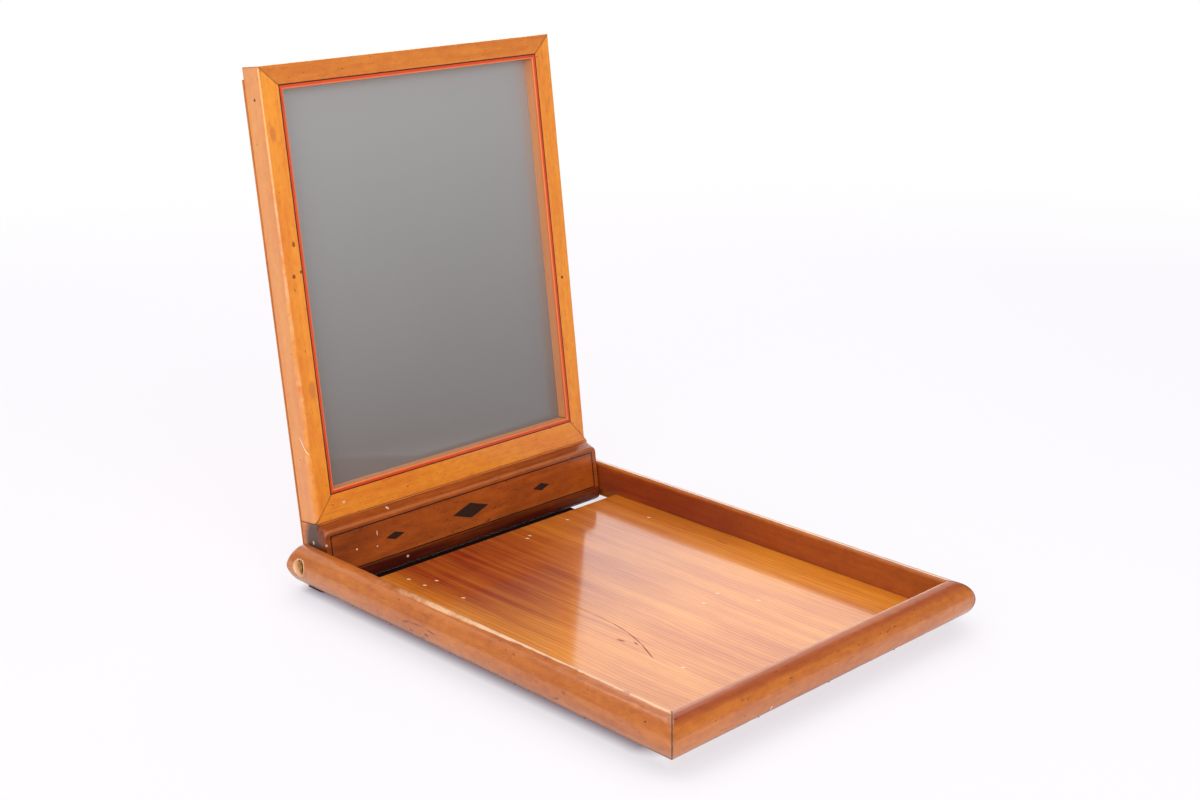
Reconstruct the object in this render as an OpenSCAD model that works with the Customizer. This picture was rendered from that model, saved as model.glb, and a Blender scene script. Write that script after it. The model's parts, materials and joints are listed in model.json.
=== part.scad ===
// Folding travel mirror in fruitwood. A mitred leaf holds the mirror plate and
// turns on two side screws. It stands up leaning back a little, and it closes
// face down into a shallow tray with half-round rails.
// The front is -Y, up is +Z, and the tray stands on z = 0.

/* [Leaf] */
// Width of the leaf
leaf_w = 228; // [170:1:300]
// Height of the leaf above the pivot line
leaf_rise = 301.6; // [220:0.1:400]
// Backward lean of the opened leaf, in degrees
lean = 7; // [3:0.5:12]
// Thickness of the mitred frame
frame_t = 16.3; // [12.8:0.1:18]
// Width of the two stiles, outer edge to sight edge
stile_w = 15.9; // [13:0.1:24]
// Width of the top rail of the frame
top_w = 14.8; // [12:0.1:24]
// Width of the bottom rail of the frame
bottom_w = 18.9; // [13:0.1:28]
// Radius of the frame's outer front arris
arris_r = 2.2; // [0.8:0.1:4]

/* [Mirror plate] */
// Depth from the frame's face to the glass
recess = 8.3; // [5:0.1:8.8]
// Width of the rebate behind the sight edge
rebate_w = 4.5; // [3:0.1:6]
// Thickness of the glass
glass_t = 2.8; // [2:0.1:3]
// Thickness of the silvering and its varnish
silver_t = 0.2; // [0.1:0.05:0.3]
// Thickness of the backing paper
paper_t = 0.3; // [0.1:0.05:0.4]
// Gap around the glass in its rebate
glass_gap = 0.5; // [0.2:0.1:1]

/* [Stringing] */
// Width of the dark line round the sight
dark_line_w = 0.7; // [0.4:0.1:1.5]
// Width of the red line on the sight edge
red_line_w = 2.3; // [0.5:0.1:3]
// Depth of both lines
line_t = 1.6; // [0.8:0.1:3]
// Gap at a mitre between two strips of a line
mitre_gap = 0.05; // [0.02:0.01:0.1]

/* [Back] */
// Thickness of the thin back board
back_t = 0.8; // [0.7:0.1:3]
// How far the back board stands out at each side
back_proud = 0.3; // [0.1:0.1:0.6]
// Distance of the back board below the leaf's top
back_drop = 7.4; // [2:0.1:9]
// Length of a glue block
block_l = 28; // [15:1:35]
// Width of a glue block
block_w = 5; // [3:0.1:7]

/* [Foot and plaque] */
// Height of the frame's lower edge above the pivot line
foot_rise = 24.2; // [20:0.1:34]
// Thickness of the plaque board
plaque_t = 7.9; // [5:0.1:9]
// Drop of the plaque's sloped top edge
plaque_slope = 3.7; // [1:0.1:5]
// Radius of the plaque's upper corners
plaque_corner_r = 3; // [1:0.5:6]
// Distance of the border line from the plaque's ends
border_inset = 3.4; // [2:0.1:8]
// Height of the border line's top above the pivot line
border_top = 17.5; // [14:0.1:19]
// Depth of the border line's bottom below the pivot line
border_bottom = 7.7; // [4:0.1:9]
// Width of the border line
border_w = 0.8; // [0.5:0.1:1.5]
// Depth of the inlays in the plaque
inlay_t = 0.7; // [0.4:0.1:1.5]
// Length of the middle lozenge
lozenge_l = 30; // [15:1:50]
// Height of the middle lozenge
lozenge_h = 10; // [5:0.5:12]
// Length of a side lozenge
side_lozenge_l = 15; // [8:1:30]
// Height of a side lozenge
side_lozenge_h = 5; // [3:0.5:12]
// Distance from the middle lozenge to each side lozenge
lozenge_step = 62; // [40:1:70]

/* [Pivot] */
// Depth of the pivot line behind the frame's face
pivot_d = 4.5; // [3.5:0.1:6]
// Height of the pivot line above the table
pivot_h = 19.9; // [19:0.1:23]
// Gap between the turning foot and the table
foot_clear = 0.4; // [0.3:0.1:1.5]
// Radius of the screw's shank
shank_r = 2; // [1.5:0.1:2.4]
// Clearance round the shank in the rail
shank_clear = 0.06; // [0.02:0.01:0.1]
// Radius of the screw's head
head_r = 4.3; // [3.4:0.1:4.6]
// Height of the screw's head
head_h = 3.4; // [2:0.1:3.6]
// Width of the slot in the head
head_slot_w = 1.1; // [0.7:0.1:1.6]
// Clearance round the head in its hole
head_clear = 0.5; // [0.3:0.1:0.6]
// Wood left in the rail under the head
web_t = 6.5; // [5:0.1:7]
// Length of the screw inside the foot
screw_grip = 22; // [14:1:35]
// Radius of the washers
washer_r = 5; // [3.5:0.1:7]

/* [Tray] */
// Height of the half-round rails
rail_h = 24.3; // [22:0.1:30]
// Width of the flat on top of a rail
rail_flat = 0.95; // [0.5:0.05:3]
// Rounding of a rail's upper inner arris
rail_arris_r = 2; // [0.5:0.1:3]
// Length of a side rail behind the pivot line
rail_tail = 12.5; // [10:0.5:25]
// Rounding of a side rail's rear end, seen from the side
end_r = 5; // [1:0.5:9]
// Gap between the leaf and each side rail
side_gap = 1.05; // [0.8:0.05:2]
// Gap between the closed leaf and the front rail
front_gap = 1.3; // [0.8:0.1:4]
// Thickness of the floor board
floor_t = 5.3; // [4:0.1:7]
// How far the floor board is let into the rails
floor_lap = 3; // [1.5:0.1:4]
// Distance from the pivot line to the floor's rear edge
slot_reach = 28.9; // [27:0.1:45]
// Thickness of the runners and the batten under the floor
runner_t = 6.1; // [4:0.1:6.8]
// Width of a runner
runner_w = 16; // [10:0.5:30]
// Distance of the runners inside the tray's walls
runner_inset = 30; // [5:1:45]
// Distance of the runners' front ends behind the front rail
runner_setback = 24; // [0:1:60]
// Width of the batten under the floor's rear edge
batten_w = 28; // [24:0.5:40]
// Gap between the batten and the turning foot
batten_gap = 1.5; // [1:0.1:3]

/* [Fasteners] */
// Radius of the brads and nails
brad_r = 0.7; // [0.5:0.05:1]
// Length of the brads in the tray
brad_l = 16; // [12:0.5:20]
// Length of the nails through the frame's mitres
nail_l = 22; // [16:0.5:30]
// Radius of a pin's head
pin_head_r = 1.3; // [1.1:0.1:2]
// Length of the back board's pins
pin_l = 9; // [6:0.5:11]
// Distance of the back board's pins inside the leaf's sides
pin_inset = 4.8; // [3:0.1:6]
// Distance of the mitre brads in front of the tray's front wall
mitre_brad_d = 4.4; // [3:0.1:8]
// Radius of the screws under the tray
runner_screw_r = 1.3; // [1:0.1:1.6]
// Distance of a runner's end screws from its ends
screw_end = 18; // [8:1:40]
// Distance from the batten's middle screw to each side screw
batten_screw_step = 60; // [30:1:75]
// How far the screws under the tray go into the floor
screw_hold = 3.4; // [2:0.1:3.6]
// How far a thread or nail bites into the wood round it
bite = 0.15; // [0.05:0.05:0.3]
// Depth of a brad's head below the wood's surface
punch = 0.4; // [0.1:0.1:1]

/* [Hidden] */
$fn = 96;
cut = 1;
glass_color = "#9fa6a8";
front_wood = "#e0923a";
side_wood = "#c9743a";
dark_wood = "#7a3a1a";
tray_wood = "#b8621f";
brass_color = "#a88a3f";
steel_color = "#77736c";

leaf_t = frame_t + back_t;
frame_y = -pivot_d;
frame_back_y = frame_y + frame_t;
back_y = frame_back_y + back_t;
swing_r = pivot_h - foot_clear;
line_w = dark_line_w + red_line_w;
sight_w = leaf_w - 2 * stile_w;
sight_low = foot_rise + bottom_w;
sight_high = leaf_rise - top_w;
glass_edge = rebate_w - glass_gap;
glass_y = frame_y + recess;
silver_y = glass_y + glass_t;
paper_y = silver_y + silver_t;
block_y = paper_y + paper_t;
back_top = leaf_rise - back_drop;
plaque_y = frame_y - plaque_t;

rail_w = rail_flat + rail_h / 2;
tray_w = leaf_w + 2 * side_gap;
wall_x = tray_w / 2;
rail_z = runner_t;
floor_top = rail_z + floor_t;
seat_x = wall_x + web_t;
head_gap = 0.1;
washer_gap = 0.1;
washer_t = side_gap - washer_gap;
front_reach = leaf_rise + front_gap + rail_w;
back_reach = max(back_y * cos(lean) + back_top * sin(lean),
                 frame_back_y * cos(lean) + leaf_rise * sin(lean));
// The part's origin is under the middle of its box
pivot_y = (front_reach - back_reach) / 2;
rear_y = pivot_y + rail_tail;
front_y = pivot_y - leaf_rise - front_gap;
floor_rear_y = pivot_y - slot_reach;
// The batten stands clear of the foot's round where its top is level with it
batten_rear_y = pivot_y - batten_gap
                - sqrt(pow(swing_r, 2) - pow(pivot_h - runner_t, 2));
batten_front_y = batten_rear_y - batten_w;
runner_front_y = front_y + runner_setback;
runner_x = wall_x - runner_inset - runner_w / 2;
side_brads = 4;
front_brads = 3;
side_pins = 5;
foot_pins = 5;
side_blocks = 3;
end_blocks = 2;
brad_z = rail_z + floor_t / 2;
mitre_z = rail_z + rail_h / 2;
runner_screw_l = runner_t - punch + screw_hold;

// Helpers

// Sets the leaf's own frame, with the pivot line as its X axis, into the tray
module on_pivot() {
    translate([0, pivot_y, pivot_h])
        rotate([-lean, 0, 0])
            children();
}

// A flat outline in X and Z, given depth along Y from y0 to y1
module plate(y0, y1) {
    translate([0, y1, 0])
        rotate([90, 0, 0])
            linear_extrude(y1 - y0)
                children();
}

// A section in Y and Z, drawn out along X to the length given and centred
module along_x(length) {
    translate([-length / 2, 0, 0])
        rotate([90, 0, 90])
            linear_extrude(length)
                children();
}

// A round bar along X from x0 to x1 at the given Y and Z
module bar_x(r, x0, x1, y = 0, z = 0) {
    translate([x0, y, z])
        rotate([0, 90, 0])
            cylinder(r = r, h = x1 - x0);
}

// A round bar along Y from y0 to y1 at the given X and Z
module bar_y(r, y0, y1, x = 0, z = 0) {
    translate([x, y1, z])
        rotate([90, 0, 0])
            cylinder(r = r, h = y1 - y0);
}

// Four mitred strips that fill the band between an outline and a smaller one
module mitred_band(x, low, high, w) {
    for (side = [-1, 1])
        polygon([[side * x, low + mitre_gap], [side * x, high - mitre_gap],
                 [side * (x - w), high - w - mitre_gap],
                 [side * (x - w), low + w + mitre_gap]]);
    for (end = [[low, 1], [high, -1]])
        polygon([[-x, end[0]], [x, end[0]],
                 [x - w, end[0] + end[1] * w], [-x + w, end[0] + end[1] * w]]);
}

// Leaf: the mitred frame

// Section of a frame member: outer edge at x = 0, face at y = 0
module member_section(w, rounded) {
    difference() {
        square([w, frame_t]);
        translate([w - rebate_w, recess])
            square([rebate_w + cut, frame_t]);
        translate([w - line_w, -cut])
            square([line_w + cut, line_t + cut]);
        if (rounded)
            difference() {
                translate([-cut, -cut])
                    square(arris_r + cut);
                translate([arris_r, arris_r])
                    circle(r = arris_r);
            }
    }
}

module mitre_nail_bars(r) {
    for (side = [-1, 1], z = [leaf_rise - top_w / 2, foot_rise + bottom_w / 2]) {
        tip = side * (leaf_w / 2 - punch - nail_l);
        head = side * (leaf_w / 2 - punch);
        bar_x(r, min(tip, head), max(tip, head), frame_y + recess / 2, z);
    }
}

module stile() {
    difference() {
        intersection() {
            translate([-leaf_w / 2, frame_y, foot_rise])
                linear_extrude(leaf_rise - foot_rise)
                    member_section(stile_w, true);
            plate(frame_y - cut, frame_back_y + cut)
                polygon([[-leaf_w / 2, foot_rise],
                         [-leaf_w / 2, leaf_rise],
                         [-leaf_w / 2 + stile_w, sight_high],
                         [-leaf_w / 2 + stile_w, sight_low]]);
        }
        mitre_nail_bars(brad_r - bite);
        back_pin_bars(brad_r - bite, pin_l);
    }
}

module left_stile() {
    color(front_wood) on_pivot() stile();
}

module right_stile() {
    color(front_wood) on_pivot() mirror([1, 0, 0]) stile();
}

module frame_top_rail() {
    color(front_wood)
        on_pivot()
            difference() {
                intersection() {
                    translate([-leaf_w / 2, frame_y, leaf_rise])
                        rotate([0, 90, 0])
                            linear_extrude(leaf_w)
                                member_section(top_w, true);
                    plate(frame_y - cut, frame_back_y + cut)
                        polygon([[-leaf_w / 2, leaf_rise],
                                 [leaf_w / 2, leaf_rise],
                                 [leaf_w / 2 - stile_w, sight_high],
                                 [-leaf_w / 2 + stile_w, sight_high]]);
                }
                mitre_nail_bars(brad_r - bite);
            }
}

module frame_bottom_rail() {
    color(front_wood)
        on_pivot()
            difference() {
                intersection() {
                    translate([-leaf_w / 2, frame_y, foot_rise])
                        mirror([0, 0, 1])
                            rotate([0, 90, 0])
                                linear_extrude(leaf_w)
                                    member_section(bottom_w, false);
                    plate(frame_y - cut, frame_back_y + cut)
                        polygon([[-leaf_w / 2, foot_rise],
                                 [leaf_w / 2, foot_rise],
                                 [leaf_w / 2 - stile_w, sight_low],
                                 [-leaf_w / 2 + stile_w, sight_low]]);
                }
                mitre_nail_bars(brad_r - bite);
            }
}

module mitre_nails() {
    color(steel_color) on_pivot() mitre_nail_bars(brad_r);
}

module dark_stringing() {
    color("#3a1206")
        on_pivot()
            plate(frame_y, frame_y + line_t)
                mitred_band(sight_w / 2 + line_w, sight_low - line_w,
                            sight_high + line_w, dark_line_w);
}

module red_stringing() {
    color("#d9572a")
        on_pivot()
            plate(frame_y, frame_y + line_t)
                mitred_band(sight_w / 2 + red_line_w, sight_low - red_line_w,
                            sight_high + red_line_w, red_line_w);
}

// Leaf: the mirror plate and what keeps it in

module plate_sheet(y0, y1) {
    plate(y0, y1)
        translate([-sight_w / 2 - glass_edge, sight_low - glass_edge])
            square([sight_w + 2 * glass_edge,
                    sight_high - sight_low + 2 * glass_edge]);
}

module mirror_glass() {
    color(glass_color) on_pivot() plate_sheet(glass_y, silver_y);
}

module mirror_silvering() {
    color("silver") on_pivot() plate_sheet(silver_y, paper_y);
}

module backing_paper() {
    color("#8d6f4a") on_pivot() plate_sheet(paper_y, block_y);
}

module glue_blocks() {
    rebate_x = sight_w / 2 + rebate_w;
    rebate_low = sight_low - rebate_w;
    rebate_high = sight_high + rebate_w;
    color("#a9713d")
        on_pivot()
            plate(block_y, frame_back_y) {
                for (side = [-1, 1], z = spread(side_blocks, rebate_low, rebate_high))
                    translate([side * (rebate_x - block_w / 2), z])
                        square([block_w, block_l], center = true);
                for (x = spread(end_blocks, -rebate_x, rebate_x),
                     z = [rebate_low + block_w / 2, rebate_high - block_w / 2])
                    translate([x, z])
                        square([block_l, block_w], center = true);
            }
}

// The middles of the equal stretches that a length is shared into
function spread(count, low, high) =
    [for (i = [0:count - 1]) low + (i + 0.5) * (high - low) / count];

// Leaf: the back board and its pins

// X and Z of each pin: a row up each stile, and one along the foot
function pin_places() =
    let (x = leaf_w / 2 - pin_inset,
         z_step = (leaf_rise - foot_rise) / (side_pins + 1),
         x_step = 2 * x / (foot_pins - 1))
    concat([for (side = [-1, 1], i = [1:side_pins])
            [side * x, foot_rise + i * z_step]],
           [for (i = [0:foot_pins - 1]) [-x + i * x_step, foot_rise / 2]]);

module back_pin_bars(r, length) {
    for (place = pin_places())
        bar_y(r, back_y - length, back_y, place[0], place[1]);
}

module back_board() {
    color("#9a6a3c")
        on_pivot()
            difference() {
                along_x(leaf_w + 2 * back_proud)
                    intersection() {
                        translate([frame_back_y, -2 * swing_r])
                            square([back_t, 2 * swing_r + back_top]);
                        swing_section();
                    }
                back_pin_bars(brad_r - bite, pin_l);
                back_pin_bars(pin_head_r, pin_head_r / 2);
            }
}

module back_board_pins() {
    color(steel_color)
        on_pivot() {
            back_pin_bars(brad_r, pin_l);
            back_pin_bars(pin_head_r, pin_head_r / 2);
        }
}

// Leaf: the foot that the pivots go into, and the plaque on its face

// What stays clear of the table as the leaf closes: round in front of the
// pivot line, with a square heel behind it that stops the leaf when open
module swing_section() {
    circle(r = swing_r);
    rotate(lean)
        translate([0, -swing_r])
            square([swing_r * 2, swing_r * 2]);
    translate([-swing_r * 2, 0])
        square([swing_r * 4, leaf_rise]);
}

module foot_block() {
    color(side_wood)
        on_pivot()
            difference() {
                along_x(leaf_w)
                    intersection() {
                        translate([frame_y, -2 * swing_r])
                            square([frame_t, 2 * swing_r + foot_rise]);
                        swing_section();
                    }
                for (side = [-1, 1])
                    mirror([side < 0 ? 1 : 0, 0, 0])
                        screw_bars(shank_r - bite);
                back_pin_bars(brad_r - bite, pin_l);
            }
}

module plaque_outline() {
    r = plaque_corner_r;
    top = foot_rise;
    translate([-leaf_w / 2, -swing_r])
        square([leaf_w, swing_r + top - r]);
    translate([-leaf_w / 2 + r, 0])
        square([leaf_w - 2 * r, top]);
    for (side = [-1, 1])
        translate([side * (leaf_w / 2 - r), top - r])
            circle(r = r);
}

module plaque_board() {
    color(dark_wood)
        on_pivot()
            difference() {
                intersection() {
                    along_x(leaf_w)
                        intersection() {
                            polygon([[frame_y, -swing_r],
                                     [frame_y, foot_rise],
                                     [plaque_y, foot_rise - plaque_slope],
                                     [plaque_y, -swing_r]]);
                            swing_section();
                        }
                    plate(plaque_y - cut, frame_y + cut) plaque_outline();
                }
                plate(plaque_y - cut, plaque_y + inlay_t) border_band();
                plate(plaque_y - cut, plaque_y + inlay_t) lozenge_row();
            }
}

module border_band() {
    mitred_band(leaf_w / 2 - border_inset, -border_bottom, border_top, border_w);
}

module lozenge(l, h) {
    polygon([[-l / 2, 0], [0, h / 2], [l / 2, 0], [0, -h / 2]]);
}

module lozenge_row() {
    translate([0, (border_top - border_bottom) / 2]) {
        lozenge(lozenge_l, lozenge_h);
        for (side = [-1, 1])
            translate([side * lozenge_step, 0])
                lozenge(side_lozenge_l, side_lozenge_h);
    }
}

module plaque_border() {
    color("#2a0f07")
        on_pivot() plate(plaque_y, plaque_y + inlay_t) border_band();
}

module plaque_lozenges() {
    color("#2a0f07")
        on_pivot() plate(plaque_y, plaque_y + inlay_t) lozenge_row();
}

// Leaf: the pivot screws and washers, drawn for the right side

// The shank from the head down into the foot, and its tapered tip
module screw_bars(r) {
    tip_l = 2 * shank_r;
    grip_x = leaf_w / 2 - screw_grip;
    bar_x(r, grip_x + tip_l, seat_x + head_gap);
    translate([grip_x, 0, 0])
        rotate([0, 90, 0])
            cylinder(r1 = r / 4, r2 = r, h = tip_l);
}

module pivot_screw() {
    head_x = seat_x + head_gap;
    color(brass_color)
        on_pivot() {
            screw_bars(shank_r);
            difference() {
                bar_x(head_r, head_x, head_x + head_h);
                translate([head_x + head_h / 2, -head_slot_w / 2, -head_r * 2])
                    cube([head_h, head_slot_w, head_r * 4]);
            }
        }
}

module right_pivot_screw() {
    pivot_screw();
}

module left_pivot_screw() {
    mirror([1, 0, 0]) pivot_screw();
}

module washer() {
    color(brass_color)
        on_pivot()
            difference() {
                bar_x(washer_r, leaf_w / 2, leaf_w / 2 + washer_t);
                bar_x(shank_r + shank_clear, leaf_w / 2 - cut, wall_x + cut);
            }
}

module right_washer() {
    washer();
}

module left_washer() {
    mirror([1, 0, 0]) washer();
}

// Tray: the half-round rails

// Section of a rail: inner face at x = 0, underside at y = 0
module rail_section() {
    difference() {
        union() {
            square([rail_flat, rail_h]);
            intersection() {
                translate([rail_flat, rail_h / 2])
                    circle(r = rail_h / 2);
                translate([rail_flat / 2, 0])
                    square([rail_w, rail_h]);
            }
        }
        difference() {
            translate([-cut, rail_h - rail_arris_r])
                square([rail_arris_r + cut, rail_arris_r + cut]);
            translate([rail_arris_r, rail_h - rail_arris_r])
                circle(r = rail_arris_r);
        }
    }
}

module floor_solid() {
    translate([-wall_x - floor_lap, front_y - floor_lap, rail_z])
        cube([tray_w + 2 * floor_lap, floor_rear_y - front_y + floor_lap, floor_t]);
}

// Where a horizontal brad enters the round face of a rail
function face_w(z) = rail_flat + sqrt(pow(rail_h / 2, 2) - pow(z - mitre_z, 2));

// Brads through the rails into the edges of the floor, and through the mitres
module tray_brad_bars(r) {
    step = (floor_rear_y - front_y) / (side_brads + 1);
    head = wall_x + face_w(brad_z) - punch;
    for (i = [1:side_brads]) {
        bar_x(r, head - brad_l, head, front_y + i * step, brad_z);
        bar_x(r, -head, -head + brad_l, front_y + i * step, brad_z);
    }
    front_head = front_y - face_w(brad_z) + punch;
    for (i = [1:front_brads])
        bar_y(r, front_head, front_head + brad_l,
              -wall_x + i * tray_w / (front_brads + 1), brad_z);
    mitre_head = wall_x + rail_w - punch;
    for (side = [-1, 1])
        bar_x(r, min(side * mitre_head, side * (mitre_head - brad_l)),
              max(side * mitre_head, side * (mitre_head - brad_l)),
              front_y - mitre_brad_d, mitre_z);
}

// A side rail seen from its side, Y along it, rounded over at the rear
module rail_side_view() {
    start = front_y - rail_w - cut;
    translate([start, rail_z])
        square([rear_y - end_r - start, rail_h]);
    translate([start, rail_z + end_r])
        square([rear_y - start, rail_h - 2 * end_r]);
    for (z = [rail_z + end_r, rail_z + rail_h - end_r])
        translate([rear_y - end_r, z])
            circle(r = end_r);
}

module side_rail() {
    color(side_wood)
        difference() {
            intersection() {
                translate([wall_x + rail_w / 2, 0, 0])
                    along_x(rail_w + cut)
                        rail_side_view();
                translate([wall_x, rear_y, rail_z])
                    rotate([90, 0, 0])
                        linear_extrude(rear_y - front_y + rail_w)
                            rail_section();
                linear_extrude(rail_z + rail_h + cut)
                    polygon([[wall_x, rear_y],
                             [wall_x + rail_w, rear_y],
                             [wall_x + rail_w, front_y - rail_w],
                             [wall_x, front_y]]);
            }
            floor_solid();
            translate([0, pivot_y, pivot_h]) {
                bar_x(shank_r + shank_clear, wall_x - cut, seat_x + cut);
                bar_x(head_r + head_clear, seat_x, seat_x + rail_w);
            }
            tray_brad_bars(brad_r - bite);
        }
}

module right_side_rail() {
    side_rail();
}

module left_side_rail() {
    mirror([1, 0, 0]) side_rail();
}

module front_rail() {
    color(tray_wood)
        difference() {
            intersection() {
                translate([0, front_y, rail_z])
                    mirror([0, 1, 0])
                        along_x(tray_w + 2 * rail_w)
                            rail_section();
                linear_extrude(rail_z + rail_h + cut)
                    polygon([[-wall_x, front_y],
                             [wall_x, front_y],
                             [wall_x + rail_w, front_y - rail_w],
                             [-wall_x - rail_w, front_y - rail_w]]);
            }
            floor_solid();
            tray_brad_bars(brad_r - bite);
        }
}

module tray_brads() {
    color(steel_color) tray_brad_bars(brad_r);
}

// Tray: the floor, and the runners and the batten that it stands on

// X and Y of each screw under the tray
function screw_places() =
    let (runner_ys = [runner_front_y + screw_end,
                      (runner_front_y + batten_front_y) / 2,
                      batten_front_y - screw_end])
    concat([for (side = [-1, 1], y = runner_ys) [side * runner_x, y]],
           [for (i = [-1:1])
            [i * batten_screw_step, (batten_front_y + floor_rear_y) / 2]]);

// A shank of radius r with a head that widens from the radius given
module runner_screw_bars(r, head) {
    for (place = screw_places())
        translate([place.x, place.y, punch]) {
            cylinder(r = r, h = runner_screw_l);
            cylinder(r1 = 2 * head, r2 = head, h = runner_screw_r);
        }
}

// The hole for each screw, with the sink up to its punched-in head
module screw_holes() {
    hole_r = runner_screw_r - bite;
    head_r = 2 * runner_screw_r;
    for (place = screw_places())
        translate([place.x, place.y, punch])
            rotate_extrude()
                polygon([[0, -punch - cut], [head_r, -punch - cut], [head_r, 0],
                         [runner_screw_r, runner_screw_r],
                         [hole_r, runner_screw_r], [hole_r, runner_screw_l],
                         [0, runner_screw_l]]);
}

module floor_board() {
    color(tray_wood)
        difference() {
            floor_solid();
            tray_brad_bars(brad_r - bite);
            runner_screw_bars(runner_screw_r - bite, runner_screw_r - bite);
        }
}

module screwed_on() {
    color("#4a2a1c")
        difference() {
            children();
            screw_holes();
        }
}

module right_runner() {
    screwed_on()
        translate([runner_x - runner_w / 2, runner_front_y, 0])
            cube([runner_w, batten_front_y - runner_front_y, runner_t]);
}

module left_runner() {
    mirror([1, 0, 0]) right_runner();
}

module rear_batten() {
    screwed_on()
        translate([-wall_x + runner_inset, batten_front_y, 0])
            cube([2 * (wall_x - runner_inset), batten_w, runner_t]);
}

module runner_screws() {
    color(steel_color) runner_screw_bars(runner_screw_r, runner_screw_r);
}

floor_board();
left_runner();
right_runner();
rear_batten();
runner_screws();
left_side_rail();
right_side_rail();
front_rail();
tray_brads();
left_stile();
right_stile();
frame_top_rail();
frame_bottom_rail();
mitre_nails();
dark_stringing();
red_stringing();
mirror_glass();
mirror_silvering();
backing_paper();
glue_blocks();
back_board();
back_board_pins();
foot_block();
plaque_board();
plaque_border();
plaque_lozenges();
left_pivot_screw();
right_pivot_screw();
left_washer();
right_washer();
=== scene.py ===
# %% [markdown]
# # A folding travel mirror in old fruitwood
#
# The mirror is a mitred frame, the leaf, that turns on two side screws between the
# half-round rails of a shallow tray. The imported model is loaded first, as a fixed frame.
# Everything below only gives it its looks: worn arrises, grain, polish, brass and glass.

# %% Load the frame
import json
from math import atan2, ceil, cos, degrees, pi, radians, sin, sqrt, tan

import bmesh
import bpy
import numpy as np
from mathutils import Matrix, Vector, noise


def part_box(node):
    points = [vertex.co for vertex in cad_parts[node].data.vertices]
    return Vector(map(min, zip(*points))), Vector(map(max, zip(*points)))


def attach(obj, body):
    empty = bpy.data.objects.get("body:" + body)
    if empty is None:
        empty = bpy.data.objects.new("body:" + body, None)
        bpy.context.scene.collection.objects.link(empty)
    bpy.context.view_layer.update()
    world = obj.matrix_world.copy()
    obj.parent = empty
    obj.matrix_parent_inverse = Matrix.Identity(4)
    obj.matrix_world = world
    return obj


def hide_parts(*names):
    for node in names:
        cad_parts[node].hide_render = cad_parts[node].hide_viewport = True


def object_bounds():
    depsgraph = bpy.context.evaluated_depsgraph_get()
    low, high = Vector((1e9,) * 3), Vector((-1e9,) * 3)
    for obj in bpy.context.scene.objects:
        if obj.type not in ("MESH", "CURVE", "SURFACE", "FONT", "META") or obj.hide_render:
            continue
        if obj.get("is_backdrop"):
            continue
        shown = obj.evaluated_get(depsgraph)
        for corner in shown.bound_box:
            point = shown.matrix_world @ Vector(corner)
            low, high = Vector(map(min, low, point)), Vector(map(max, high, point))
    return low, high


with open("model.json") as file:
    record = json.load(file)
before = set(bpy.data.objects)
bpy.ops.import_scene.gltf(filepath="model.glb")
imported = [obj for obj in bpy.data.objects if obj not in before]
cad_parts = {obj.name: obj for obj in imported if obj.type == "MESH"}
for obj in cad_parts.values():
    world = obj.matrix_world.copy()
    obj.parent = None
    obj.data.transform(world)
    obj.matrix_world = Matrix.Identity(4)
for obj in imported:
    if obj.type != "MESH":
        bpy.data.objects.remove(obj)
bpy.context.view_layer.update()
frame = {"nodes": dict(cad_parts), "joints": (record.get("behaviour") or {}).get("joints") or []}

# %% [markdown]
# ## Two ways of measuring
#
# The tray stands square in the frame, so a node's box there is its true size. The leaf
# leans back, so its nodes are turned upright about the hinge line before they are measured.
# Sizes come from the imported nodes, so the looks follow the construction if it changes.

# %% Measure the tray and the leaf
MM = 0.001
LEAN = radians(7)
PIVOT = Vector(frame["joints"][0]["pos_m"])
LEAF = Matrix.Translation(PIVOT) @ Matrix.Rotation(-LEAN, 4, "X")


def leaf_box(node):
    """Lowest and highest corner of a leaf node, turned upright about the hinge line."""
    back = LEAF.inverted()
    points = np.array([back @ v.co for v in frame["nodes"][node].data.vertices])
    return Vector(points.min(0)), Vector(points.max(0))


stile_low, stile_high = leaf_box("left_stile")
top_low, top_high = leaf_box("frame_top_rail")
bottom_low, bottom_high = leaf_box("frame_bottom_rail")
dark_low, dark_high = leaf_box("dark_stringing")
red_low, red_high = leaf_box("red_stringing")
glass_low, glass_high = leaf_box("mirror_glass")
plaque_low, plaque_high = leaf_box("plaque_board")
rail_low, rail_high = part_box("right_side_rail")
_, front_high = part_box("front_rail")
floor_low, floor_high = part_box("floor_board")

HALF_LEAF = -stile_low.x
STILE_W = stile_high.x - stile_low.x
TOP_W = top_high.z - top_low.z
BOTTOM_W = bottom_high.z - bottom_low.z
FRAME_T = stile_high.y - stile_low.y
RECESS = glass_low.y - stile_low.y
LINE_W = stile_high.x - dark_low.x
LINE_T = dark_high.y - dark_low.y
REBATE_W = 4.5 * MM
WALL_X = rail_low.x
RAIL_W = rail_high.x - rail_low.x
RAIL_H = rail_high.z - rail_low.z
LAP = floor_high.x - WALL_X
FLOOR_T = floor_high.z - floor_low.z
SWING = -leaf_box("foot_block")[0].z
print(f"leaf {2 * HALF_LEAF / MM:.1f} mm wide, rails {RAIL_W / MM:.1f} by {RAIL_H / MM:.1f} mm")

# %% [markdown]
# ## The camera
#
# A photographer of small antiques stands back and uses a long lens, which keeps the tray's
# sides nearly parallel. The camera is placed from the hinge line, because that is the one
# line that both the tray and the leaf share, and it is turned by three plain angles.

# %% Place the camera
FROM_HINGE = Vector((-712.35, -872.32, 435.68)) * MM
YAW, PITCH, ROLL = radians(43.954), radians(-17.659), radians(-0.354)
FOCAL_PX, IMAGE_PX, SENSOR_MM = 1829.84, 1200, 36

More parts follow.
